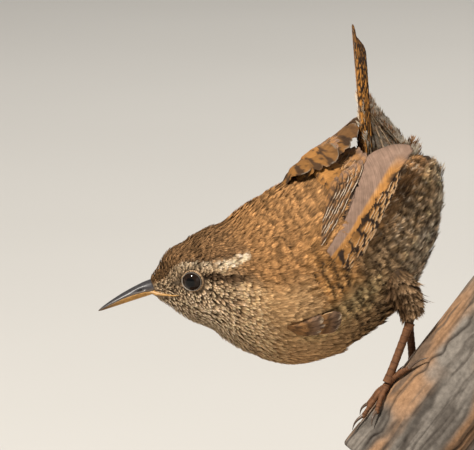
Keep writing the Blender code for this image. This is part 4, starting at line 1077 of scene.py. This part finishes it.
def wing(side):
    plates = Plates()
    seed = 100
    for name, count, first, last, tip, guide, tip_last, widths, lifts, tilt in WING_FEATHERS:
        for k in range(count):
            share = k / max(1, count - 1)
            seed += 1
            draw = np.random.default_rng(seed)
            root = np.array(first) + (np.array(last) - np.array(first)) * share
            end = ((1 - share) ** 2 * np.array(tip) + 2 * (1 - share) * share * np.array(guide)
                   + share ** 2 * np.array(tip_last))
            end[0] += draw.uniform(-0.3, 0.3)
            if name == "tertial":
                root, end = root + draw.normal(0.0, 0.12, 2), end + draw.normal(0.0, 0.15, 2)
            end[0] += WING_HOLD[side][0] * np.clip((end[0] - TIP_SHIFT[0]) / TIP_SHIFT[1], 0.0, 1.0)
            width = widths[0] + (widths[1] - widths[0]) * share
            lift = lifts[0] + (lifts[1] - lifts[0]) * share
            run = end - root
            reach = float(np.hypot(*run))
            deep = 1.3 if name in ("alula", "primary_covert") else 2.4
            slant, narrow = (0.9, 0.5) if name == "mauve" else (0.0, 0.0)

            def place(s, across, rise, root=root, run=run, reach=reach, width=width, lift=lift, tilt=tilt,
                      deep=deep, slant=slant, narrow=narrow):
                sag = -0.02 * reach * np.sin(math.pi * s)
                across = across * np.where(across > 0.0, 1.0 - narrow * (1.0 - ramp(s, 0.35, 0.9)), 1.0)
                along = root[0] + run[0] * s - (sag + across) * run[1] / reach - slant * across * ramp(s, 0.5, 1.0)
                squeeze = WING_RADIUS / girth_radius(np.minimum(along, WING_REACH))
                arc = root[1] + run[1] * s + (sag + across * squeeze) * run[0] / reach
                rising = ramp(along - np.interp(arc, WING_FRONT[:, 0], WING_FRONT[:, 1]), -1.5, 1.8)
                return wing_point(side, along, arc, lift + rise - deep * (1.0 - rising) + tilt * rising * (width / 2 - across))

            shaft = {"mauve": -0.46, "primary": -0.3}.get(name, 0.0)
            plates.add(place, width, reach, vane_paint(WING_KINDS.get(name, name), reach, seed, share), seed,
                       VANE_SHAPES.get(name, VANE_SHAPE), shaft=shaft, inside=TERTIAL)
    if side == "right":
        for k, (start, arc0, end_along, end_arc, width, lift) in enumerate(LOBES):
            run = np.array((end_along - start, end_arc - arc0))
            reach = float(np.hypot(*run))

            def place(s, across, rise, start=start, arc0=arc0, run=run, reach=reach, lift=lift):
                along = start + run[0] * s - across * run[1] / reach
                squeeze = WING_RADIUS / girth_radius(np.minimum(along, WING_REACH))
                arc = arc0 + run[1] * s + across * squeeze * run[0] / reach
                return wing_point(side, along, arc, lift + rise - 1.8 * (1.0 - ramp(s, 0.05, 0.45)))

            plates.add(place, width, reach, vane_paint("lobe", reach, 190 + k, min(1.0, 0.5 * k)), 190 + k,
                       (0.3, 0.5, 0.6, 2.4, 0.1), splits=5)
    plates.build("wing_feathers_" + side, bpy.data.materials["vanes"], "flight_feathers", "wing_" + side)


UNDERTAIL_ROWS = ((5, 1.0, 1.2, 1.0, 17.0, 2.6), (5, 1.4, 3.2, 1.1, 16.0, 2.8), (5, 2.0, 5.2, 1.3, 15.0, 3.0),
                  (5, 2.8, 7.2, 1.5, 13.8, 3.0), (5, 3.6, 9.0, 1.7, 12.4, 3.2))


def tail():
    aim, side, face = tail_axes()
    plates = Plates()
    seed = 300

    def vane(kind, offset, layer, turn, length, width, slope=0.0, start=0.0, curl=0.0, tip=0.74):
        def place(s, across, rise):
            reach = length * s
            left = offset + math.sin(turn) * reach + across * math.cos(turn)
            out = layer + rise + slope * reach + curl * np.sin(math.pi * s) - 0.035 * across ** 2
            return (TAIL_ROOT + aim * (start + math.cos(turn) * reach)[..., None] + side * left[..., None]
                    + face * out[..., None])
        plates.add(place, width, length, vane_paint(kind, length, seed), seed, (0.45, 0.35, tip, 2.4, 0.1), step=0.45, columns=13)

    for pair in range(TAIL_PAIRS):
        for sign in (1, -1):
            seed += 1
            layer = -TAIL_STEP * (pair + 0.5 * (sign < 0))
            length = TAIL_LENGTH - 1.7 * min(1.0, pair + 0.5 * (sign > 0)) - 0.28 * pair
            vane("rectrix", sign * (0.45 + 0.24 * pair), layer, sign * TAIL_FAN * pair, length,
                 TAIL_VANE_WIDTH - 0.9 * (pair == 0), tip=0.92)
    for count, start, root_out, tip_out, length, width in UNDERTAIL_ROWS:
        for k in range(count):
            seed += 1
            spot = 2.0 * k / (count - 1) - 1.0
            layer = -root_out + 0.45 * spot ** 2
            own = length * (1.0 - 0.12 * abs(spot))
            vane("undertail", spot * 2.4, layer, -spot * 0.03, own, width, (root_out - tip_out) / own, start)
    for k in range(5):
        seed += 1
        spot = 0.5 * k - 1.0
        vane("rectrix", spot * 1.7, 0.35 * (1.0 - 0.75 * abs(spot)), spot * 0.05, 10.5 - 2.0 * abs(spot), 2.6,
             0.0, 0.5)
    plates.build("tail_feathers", bpy.data.materials["vanes"], "flight_feathers", "tail")


# Bill, eyes and lids

def loft(rings):
    """Points and triangles of a closed loft through rings, with a fan over each end."""
    rings = np.asarray(rings)
    count, sides = rings.shape[:2]
    points = np.concatenate((rings.reshape(-1, 3), rings[:1].mean(axis=1), rings[-1:].mean(axis=1)))
    turn = np.arange(sides)
    following = (turn + 1) % sides
    last = (count - 1) * sides
    caps = np.concatenate((np.stack((np.full(sides, count * sides), following, turn), axis=-1),
                           np.stack((np.full(sides, count * sides + 1), last + turn, last + following), axis=-1)))
    return points, np.concatenate((grid_triangles(count, sides, True), caps))


def bill_frame(share):
    root, _, left, _, _, _ = (value for value in body_frame(np.array(0.0)))
    aim = unit(np.array((-math.cos(BILL_DROOP), -math.sin(BILL_DROOP), YAW_SLOPE)))
    side = unit(left - left.dot(aim) * aim)
    up = np.cross(aim, side)
    up = up if up[1] > 0 else -up
    return root + aim * (GAP + share * BILL_LENGTH) - up * BILL_CURVE * share ** 2, side, up


def mandible(name, sign, height, look, *replaced):
    """Half of the bill: a D section that narrows to the tip, with the nostril and the cutting edge."""
    rings, tints = [], []
    sides = 28
    for share in np.concatenate((np.linspace(-0.09, 0.9, 46), np.linspace(0.92, 1.0, 8))):
        centre, side, up = bill_frame(share)
        shift = 0.55 * math.sin(math.pi * min(1.0, max(0.0, share)) ** 0.8)
        centre = centre + up * shift * 0.9
        inside = max(0.0, share)
        half_width = BILL_HALF_WIDTH * (1.0 - inside) ** 0.85 + BILL_TIP * math.sqrt(max(0.0, 1.0 - inside ** 8)) + 0.02
        tall = height * (1.0 - inside ** 1.4) + BILL_TIP * math.sqrt(max(0.0, 1.0 - inside ** 8)) + 0.02
        tall = tall - sign * shift
        turn = np.linspace(0.0, math.pi, sides)
        out, rise = np.cos(turn), np.sin(turn)
        grow = np.ones(sides)
        if sign > 0:
            grow -= 0.30 * hump(share, 0.15, 0.065) * hump(rise, 0.42, 0.13)
            grow -= 0.10 * hump(share, 0.19, 0.13) * hump(rise, 0.48, 0.25)
            grow += 0.05 * np.exp(-((out) / 0.16) ** 2)
        grow += 0.04 * hump(rise, 0.0, 0.12)
        base = centre + up * sign * 0.03
        ring = (base + side * (half_width * out * grow)[:, None] + up * (sign * tall * rise * grow)[:, None])
        under = base + side * (half_width * np.linspace(-0.8, 0.8, 9))[:, None] + up * sign * 0.05
        rings.append(np.concatenate((ring, under)))
        rise = np.concatenate((rise, np.full(9, 0.2)))
        if sign > 0:
            colour = mix(np.array((0.035, 0.032, 0.034)), np.array((0.16, 0.115, 0.08)),
                         0.7 * hump(rise, 0.0, 0.25) + 0.3 * (share > 0.9))
            # Painted highlight: a lighter grey band along the middle of each side
            colour = mix(colour, np.array((0.06, 0.055, 0.058)), hump(rise, 0.6, 0.25) * 0.6)
            colour = mix(colour, np.array((0.02, 0.017, 0.015)), hump(share, 0.15, 0.05) * hump(rise, 0.42, 0.12))
        else:
            dark = float(ramp(np.array(share), 0.45, 0.95))
            colour = mix(np.array((0.44, 0.235, 0.07)), np.array((0.10, 0.06, 0.04)), dark * 0.8 + 0.0 * rise)
            # Painted shade: darker along the underside
            colour = mix(colour, np.array((0.16, 0.10, 0.06)), ramp(rise, 0.75, 1.0) * 0.6)
        tints.append(colour)
    points, order = loft(rings)
    tints = np.array(tints)
    tint = np.concatenate((tints.reshape(-1, 3), tints[:1, 0], tints[-1:, 0]))
    piece = mesh_piece(name, points, order if sign > 0 else order[:, ::-1], tint, None, True)
    return add_to(piece, look, *replaced)


def horn_look(name, roughness, strength):
    look = Look(name, roughness, 0.35, Coat_Weight=0.1, Coat_Roughness=0.25)
    grain = look.noise(900.0, 4.0, 0.6, (1.0, 4.0, 4.0))
    look.colour(look.scaled(look.attribute(), look.span(grain, 0.3, 0.7, 0.7, 1.35)))
    look.bump(grain, strength, 0.00008)
    return look.material


def bill():
    look = horn_look("horn", 0.36, 0.25)
    mandible("bill_upper_half", 1, UPPER_HEIGHT, look, "dark_horn", "bill_upper")
    mandible("bill_lower_half", -1, LOWER_HEIGHT, look, "pale_horn", "bill_lower")
    for side, sign in (("left", 1), ("right", -1)):
        path, radii = [], []
        for share in np.linspace(0.0, 1.0, 24):
            along = -1.2 + share * 6.0
            angle = math.radians(float(np.interp(along, (0.6, 2.2, 5.0), (-11.0, -6.0, 1.0))))
            angle = angle if sign > 0 else math.pi - angle
            if along < 0.6:
                centre, across, up = bill_frame(-along / BILL_LENGTH)
                start = centre + across * sign * 1.25
                end = body_point(0.6, angle, 0.0)
                blend = (along + 1.2) / 1.8
                path.append(start * (1 - blend) + end * blend)
            else:
                path.append(body_point(along, angle, 0.02))
            radii.append(float(np.interp(share, (0.0, 0.3, 0.6, 1.0), (0.26, 0.42, 0.24, 0.06))))
        rings = tube_rings(np.array(path), np.array(radii), 10)
        points, order = loft(rings)
        tint = np.broadcast_to(np.array((0.42, 0.23, 0.075)), points.shape)
        add_to(mesh_piece("gape_" + side, points, order, tint, None, True), look, "pale_horn")


def tube_rings(path, radii, sides):
    """Rings square to a path; radii is one value a ring or one a point."""
    aims = unit(np.gradient(path, axis=0))
    first = np.cross(aims[0], (0.0, 1.0, 0.0) if abs(aims[0][1]) < 0.9 else (1.0, 0.0, 0.0))
    turn = np.linspace(0.0, 2 * math.pi, sides, endpoint=False)
    rings = []
    for middle, aim, radius in zip(path, aims, radii):
        first = unit(first - first.dot(aim) * aim)
        second = np.cross(aim, first)
        rings.append(middle + (first * np.cos(turn)[:, None] + second * np.sin(turn)[:, None])
                     * np.reshape(radius, (-1, 1)))
    return np.array(rings)


def eyes():
    look = Look("eye", 0.1, 0.1, Coat_Weight=0.18, Coat_Roughness=0.02)
    look.colour(look.scaled(look.attribute(), look.span(look.noise(2500.0, 3.0), 0.3, 0.7, 0.6, 1.5)))
    lid_look = Look("lids", 0.55, 0.4)
    lid_look.colour(lid_look.scaled(lid_look.attribute(), lid_look.span(lid_look.noise(3000.0, 2.0), 0.3, 0.7, 0.75, 1.25)))
    lid_look.bump(lid_look.noise(5000.0, 2.0), 0.4, 0.0001)
    for side, angle in (("left", EYE_ANGLE), ("right", math.pi - EYE_ANGLE)):
        place, normal, flow, up, _, _ = (np.asarray(v) for v in surface(np.array(EYE_ALONG), np.array(angle)))
        centre = place - normal * EYE_SINK
        rings, tints = [], []
        turn = np.linspace(0.0, 2 * math.pi, 64, endpoint=False)
        for polar in np.linspace(0.03, math.pi - 0.03, 40):
            out = math.sin(polar)
            rings.append(centre + (flow * np.cos(turn)[:, None] + up * np.sin(turn)[:, None]) * EYE_RADIUS * out
                         + normal * EYE_RADIUS * math.cos(polar))
            iris = float(ramp(np.array(out * EYE_RADIUS), 0.85, 1.1))
            tints.append(np.broadcast_to(mix(np.array((0.003, 0.003, 0.003)), np.array((0.014, 0.008, 0.005)),
                                             np.array(iris)), (64, 3)))
        points, order = loft(rings)
        tints = np.array(tints).reshape(-1, 3)
        tint = np.concatenate((tints, tints[:1], tints[-1:]))
        add_to(mesh_piece("eyeball_" + side, points, order, tint, None, True), look.material, "eye", "eye_" + side)
        count = 96
        round_eye = np.linspace(0.0, 2 * math.pi, count, endpoint=False)
        rings = []
        for k, a in enumerate(round_eye):
            outward = flow * math.cos(a) * 1.05 + up * math.sin(a) * 0.95
            bead = 0.14 + 0.02 * math.cos(k * math.pi / 2) + 0.012 * math.sin(k * 1.7)
            section = np.linspace(0.0, 2 * math.pi, 12, endpoint=False)
            middle = centre + outward * LID_RADIUS + normal * (EYE_SINK - 0.12)
            rings.append(middle + (unit(outward) * np.cos(section)[:, None] * bead * 0.8
                                   + normal * np.sin(section)[:, None] * bead))
        rings = np.array(rings)
        rows = np.concatenate((rings, rings[:1]))
        order = grid_triangles(count + 1, 12, True) % (count * 12)
        # Painted shade: the lid ring darkens round its upper rear side and lightens at its lower front; a small ripple
        # runs round it
        tone = 0.3 + 0.7 * ramp(np.sin(round_eye * 1.0 - 2.2) + 0.35 * np.sin(round_eye * 9.0), -0.1, 1.0)
        tint = np.array((0.30, 0.25, 0.20)) * tone[:, None, None] * np.ones((count, 12, 1))
        add_to(mesh_piece("lid_" + side, rings, order, tint, None, True), lid_look.material, "plumage")
        section = np.array(((1.98, -0.75), (2.00, -0.45), (2.05, -0.38), (2.12, -0.40), (2.22, -0.52), (2.35, -0.75),
                            (2.3, -0.9), (2.0, -1.0)))
        rough = 0.05 * np.random.default_rng(41).normal(0.0, 1.0, (count, len(section)))
        outward = flow * np.cos(round_eye)[:, None] * 1.05 + up * np.sin(round_eye)[:, None] * 0.95
        rings = (centre + outward[:, None] * (section[:, 0] + rough)[..., None]
                 + normal * (EYE_SINK + section[:, 1] + rough)[..., None])
        order = grid_triangles(count + 1, len(section), True) % (count * len(section))
        streaky = 0.5 + 0.5 * np.sin(round_eye * 31.0 + 2.0 * np.sin(round_eye * 7.0))
        tint = mix(BUFF * 0.7, STRIPE, streaky[:, None] * np.linspace(0.4, 0.9, len(section)))
        add_to(mesh_piece("orbit_" + side, rings, order, tint, None, True), lid_look.material, "plumage")


# Legs

TOE_RADIUS = 0.62
TOES = (("inner", 205.0, 7.0, 3.0), ("middle", 180.0, 9.0, 3.4), ("outer", 152.0, 7.5, 3.0),
        ("hind", 32.0, 6.0, 4.6))
LEGS = {
    "left": ((34.9, -20.4, 5.6), (-1.4, 17.0), (31.5, -9.0, 6.5), 1),
    "right": ((35.3, -19.6, -6.8), (5.0, -36.0), (31.0, -8.5, -8.5), -1),
}


def perch_axes():
    run = np.array((math.cos(PERCH_LEAN), math.sin(PERCH_LEAN), 0.0))
    return run, np.array((-run[1], run[0], 0.0)), np.array((0.0, 0.0, 1.0))


def perch_point(along, angle, height):
    run, out, near = perch_axes()
    along, angle, height = (np.asarray(v, dtype=float)[..., None] for v in (along, angle, height))
    return (PERCH_TOP - out * PERCH_RADIUS + run * along
            + (out * np.cos(angle) + near * np.sin(angle)) * (PERCH_RADIUS + height))


LEG_RED = np.array((0.14, 0.065, 0.032))
LEG_DARK = np.array((0.045, 0.02, 0.012))
CLAW = np.array((0.10, 0.065, 0.045))


def leg(side):
    heel, foot, hip, spread = LEGS[side]
    look = bpy.data.materials["scales"]
    gathered = []

    def gather(rings, tint):
        points, order = loft(rings)
        ends = np.concatenate((tint.reshape(-1, 3), tint[0, :1], tint[-1, :1]))
        gathered.append((points, order, ends))

    def scaled_tint(rings, sides, scutes, seed):
        share = np.linspace(0.0, 1.0, rings)[:, None] * np.ones((1, sides))
        edge = ramp(np.cos(share * scutes * 2 * math.pi), 0.80, 1.0)
        return mix(LEG_RED * 1.1, LEG_DARK, edge * 0.8) * np.random.default_rng(seed).uniform(0.9, 1.1)

    ankle = perch_point(foot[0], math.radians(foot[1]), GAP + TOE_RADIUS + 0.30)
    for number, (toe, turn, length, claw) in enumerate(TOES):
        heading = math.radians(turn * spread)

        def over(step, rise):
            return perch_point(foot[0] + math.cos(heading) * step,
                               math.radians(foot[1]) + math.sin(heading) * step / PERCH_RADIUS, rise)

        rings, sides = 46, 16
        s = np.linspace(0.0, 1.0, rings)
        joints = {"inner": 2, "middle": 3, "outer": 4, "hind": 1.5}[toe]
        pad = 0.10 * np.cos(2 * math.pi * (s * joints + 0.1))
        radius = (TOE_RADIUS * (1.0 - 0.22 * s) + pad * 0.6) * np.sqrt(np.clip(1.0 - ((s - 0.9) / 0.13) ** 2 * (s > 0.9), 0.1, 1.0))
        turn_round = np.linspace(0.0, 2 * math.pi, sides, endpoint=False)
        scute = 1.0 + 0.035 * np.cos(s * 11 * 2 * math.pi)[:, None] * np.ones((1, sides))
        path = over(length * s, 0.12 + TOE_RADIUS * (1.0 - 0.1 * s) + 0.30 * np.sin(math.pi * s))
        gather(tube_rings(path, radius[:, None] * scute, sides), scaled_tint(rings, sides, 11, number))
        c = np.linspace(0.0, 1.0, 22)
        hook = 0.62 * np.sin(math.pi * c * 0.8) - (TOE_RADIUS - 0.22) * c ** 2
        start = length - 0.55
        path = over(start + (claw + 0.4) * c, 0.12 + TOE_RADIUS * 0.9 + hook + 0.1)
        radius = 0.40 * (1.0 - 0.88 * c ** 1.2)
        points, order = loft(tube_rings(path, radius, 12))
        tint = np.concatenate((mix(CLAW * 1.3, CLAW * 0.6, c[:, None] * np.ones((1, 12))).reshape(-1, 3), CLAW[None], CLAW[None]))
        add_to(mesh_piece("claw_%s_%s" % (toe, side), points, order, tint, None, True),
               bpy.data.materials["claws"], "dark_horn")

    aim = unit(np.array(heel) - ankle)
    start, end = ankle - aim * 0.3, np.array(heel) + aim * 0.6
    s = np.linspace(0.0, 1.0, 110)
    path = start + (end - start) * s[:, None]
    radius = 0.93 * (1.0 + 0.30 * np.abs(2 * s - 1) ** 4)
    sides = 22
    turn_round = np.linspace(0.0, 2 * math.pi, sides, endpoint=False)
    saw = (s * 9.0) % 1.0
    relief = 1.0 + 0.07 * (saw - 0.5)[:, None] * (1.0 + 0.5 * np.cos(turn_round))[None]
    flat = 1.0 + 0.12 * np.cos(2 * turn_round)[None]
    gather(tube_rings(path, radius[:, None] * relief * flat, sides),
           mix(LEG_RED, LEG_DARK, np.clip(1.0 - np.minimum(saw, 1 - saw) * 9.0, 0.0, 1.0)[:, None] * 0.8 * np.ones((1, sides))))
    size, points, triangles, tints = 0, [], [], []
    for part, order, tint in gathered:
        points.append(part)
        triangles.append(order + size)
        tints.append(tint)
        size += len(part)
    piece = mesh_piece("leg_" + side, np.concatenate(points), np.concatenate(triangles), np.concatenate(tints),
                       None, True)
    add_to(piece, look, "leg_skin", "foot_" + side, "tarsus_" + side)


def legs():
    look = Look("scales", 0.55, 0.08)
    look.colour(look.scaled(look.attribute(), look.span(look.noise(1100.0, 4.0), 0.3, 0.7, 0.7, 1.35)))
    look.bump(look.noise(2600.0, 3.0), 0.5, 0.00012)
    horn_look("claws", 0.35, 0.2)
    for side in LEGS:
        leg(side)


# Perch and stand

def perch():
    """Weathered length of trunk with cracks along its grain and sawn ends."""
    rows, sides = 260, 300
    share = np.linspace(0.0, 1.0, rows)
    turn = np.linspace(0.0, 2 * math.pi, sides, endpoint=False)
    along = PERCH_LOW_END + (PERCH_HIGH_END - PERCH_LOW_END) * share
    grid_along, grid_turn = np.meshgrid(along, turn, indexing="ij")
    column = grid_turn / (2 * math.pi)
    wander = 0.9 * lattice_noise(grid_along * 0.10, column * 7, 51, 7) + 0.3 * lattice_noise(grid_along * 0.4, column * 15, 52, 15)
    fibre = lattice_noise(grid_along * 0.12 + 9.0, column * 90 + wander * 1.5, 53)
    broad = lattice_noise(grid_along * 0.07, column * 12, 54, 12)
    crack = 0.0
    for depth, seed, lines, run in ((0.38, 55, 16, 0.030), (0.26, 56, 33, 0.045), (0.12, 57, 64, 0.07)):
        line = np.abs(lattice_noise(grid_along * run + seed, column * lines + wander * 0.5, seed, 0))
        broken = ramp(lattice_noise(grid_along * 0.09, column * lines * 0.5, seed + 10), -0.5, 0.1)
        crack = crack + depth * np.exp(-(line / 0.10) ** 2) * broken
    height = -0.12 + 0.10 * broad + 0.07 * fibre - crack
    bevel = 0.5 * np.exp(-np.minimum(grid_along - PERCH_LOW_END, PERCH_HIGH_END - grid_along) / 0.25)
    points = perch_point(grid_along, grid_turn, np.minimum(height, 0.0) - bevel)
    wood = mix(np.array((0.20, 0.175, 0.15)), np.array((0.34, 0.18, 0.085)), ramp(broad + 0.4 * wander, 0.0, 0.7) * 0.8)
    wood = mix(wood, np.array((0.075, 0.062, 0.052)), ramp(fibre, 0.0, 0.6) * 0.7)
    # Painted shade: the cracks are darkened towards black where they cut deepest
    wood = mix(wood, np.array((0.03, 0.024, 0.02)), np.clip(crack * 2.2, 0.0, 1.0))
    rings, tints = [points], [wood]
    for end, row in ((0, 0), (1, -1)):
        inner = []
        for scale in (0.93, 0.8, 0.65, 0.5, 0.36, 0.24, 0.14, 0.06):
            centre = points[row].mean(axis=0)
            inner.append(centre + (points[row] - centre) * scale)
        inner = np.array(inner)
        ring_tint = mix(np.array((0.42, 0.30, 0.18)), np.array((0.26, 0.17, 0.10)),
                        0.5 + 0.5 * np.sin(np.arange(8) * 2.4)[:, None] * np.ones((1, sides)))
        if end:
            rings.append(inner)
            tints.append(ring_tint)
        else:
            rings.insert(0, inner[::-1])
            tints.insert(0, ring_tint[::-1])
    rings, tints = np.concatenate(rings), np.concatenate(tints)
    points, order = loft(rings)
    tint = np.concatenate((tints.reshape(-1, 3), tints[0, :1], tints[-1, :1]))
    look = Look("weathered_wood", 0.9, 0.05)
    grain = look.noise(900.0, 6.0, 0.65, (1.0, 1.0, 1.0))
    look.colour(look.scaled(look.attribute(), look.span(grain, 0.3, 0.7, 0.7, 1.3)))
    look.bump(grain, 0.5, 0.0003)
    add_to(mesh_piece("trunk", points, order, tint, None, True), look.material, "trunk_wood", "perch")


def stand():
    look = Look("waxed_wood", 0.35, 0.5, Coat_Weight=0.3, Coat_Roughness=0.2)
    grain = look.noise(60.0, 6.0, 0.6, (0.12, 1.0, 1.0))
    look.colour(look.blend(rgba(0.10, 0.055, 0.03), rgba(0.21, 0.12, 0.065), look.span(grain, 0.35, 0.65, 0.0, 1.0)))
    look.bump(grain, 0.15, 0.0003)
    metal = Look("brushed_metal", 0.34, 0.5, Metallic=1.0)
    lines = metal.noise(900.0, 4.0, 0.6, (0.05, 0.05, 1.0))
    metal.colour(metal.blend(rgba(0.42, 0.41, 0.39), rgba(0.62, 0.61, 0.58), lines))
    metal.bump(lines, 0.1, 0.0001)
    for name, made, slot in (("stand_base", look, "base_wood"), ("stand_rod_front", metal, "rod_metal"),
                             ("stand_rod_rear", metal, "rod_metal")):
        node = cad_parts[name]
        node.data.materials.clear()
        node.data.materials.append(made.material)


# Stage, light and camera

def stage():
    size = 6.0
    mesh = bpy.data.meshes.new("floor")
    corners = [(-size, -size, 0.0), (size, -size, 0.0), (size, size, 0.0), (-size, size, 0.0)]
    mesh.from_pydata(corners, [], [(0, 1, 2, 3)])
    floor = bpy.data.objects.new("floor", mesh)
    bpy.context.scene.collection.objects.link(floor)
    look = Look("pale_floor", 0.7, 0.3)
    look.colour(look.blend(rgba(0.57, 0.555, 0.53), rgba(0.61, 0.595, 0.57), look.noise(6.0, 2.0)))
    floor.data.materials.append(look.material)


def aim_at(thing, place, target):
    from mathutils import Vector
    thing.location = place
    thing.rotation_euler = (Vector(target) - Vector(place)).to_track_quat("-Z", "Y").to_euler()


def light(name, place, target, size, power, colour):
    data = bpy.data.lights.new(name, "AREA")
    data.shape = "DISK"
    data.size = size
    data.energy = power
    data.color = colour
    thing = bpy.data.objects.new(name, data)
    bpy.context.scene.collection.objects.link(thing)
    aim_at(thing, place, target)


def lights():
    target = (-0.02, 0.0, 0.066)
    light("key", (-0.50, -0.60, 0.95), target, 0.18, 21.0, (1.0, 0.95, 0.87))
    light("fill", (0.7, -0.8, 0.25), target, 0.9, 2.6, (1.0, 0.97, 0.93))
    light("rim", (0.35, 0.7, 0.7), target, 0.5, 4.0, (1.0, 0.97, 0.92))
    world = bpy.context.scene.world or bpy.data.worlds.new("world")
    bpy.context.scene.world = world
    world.use_nodes = True
    background = world.node_tree.nodes["Background"]
    background.inputs["Color"].default_value = rgba(0.95, 0.93, 0.90)
    background.inputs["Strength"].default_value = 0.20


def tone():
    """Plain display transform, so that colours keep their strength."""
    settings = bpy.context.scene.view_settings
    settings.view_transform = "Standard"
    settings.look = "None"
    settings.exposure = 0.0


def camera():
    data = bpy.data.cameras.new("camera")
    data.sensor_width = SENSOR
    data.lens = SENSOR * VIEW_DISTANCE / VIEW_WIDTH
    data.clip_start = 0.01
    data.clip_end = 20.0
    thing = bpy.data.objects.new("camera", data)
    bpy.context.scene.collection.objects.link(thing)
    thing.location = to_world(np.array((0.0, 0.0, VIEW_DISTANCE)))
    thing.rotation_euler = (math.pi / 2 - VIEW_TILT, 0.0, 0.0)
    bpy.context.scene.camera = thing


camera()
tone()
stage()
lights()
skin()
plumage_look("feathers")
coat()
thigh_coat("left", 420, 81)
thigh_coat("right", 320, 91)
tail_coverts()
vane_look()
for wing_side in ("left", "right"):
    wing(wing_side)
tail()
bill()
eyes()
legs()
perch()
stand()
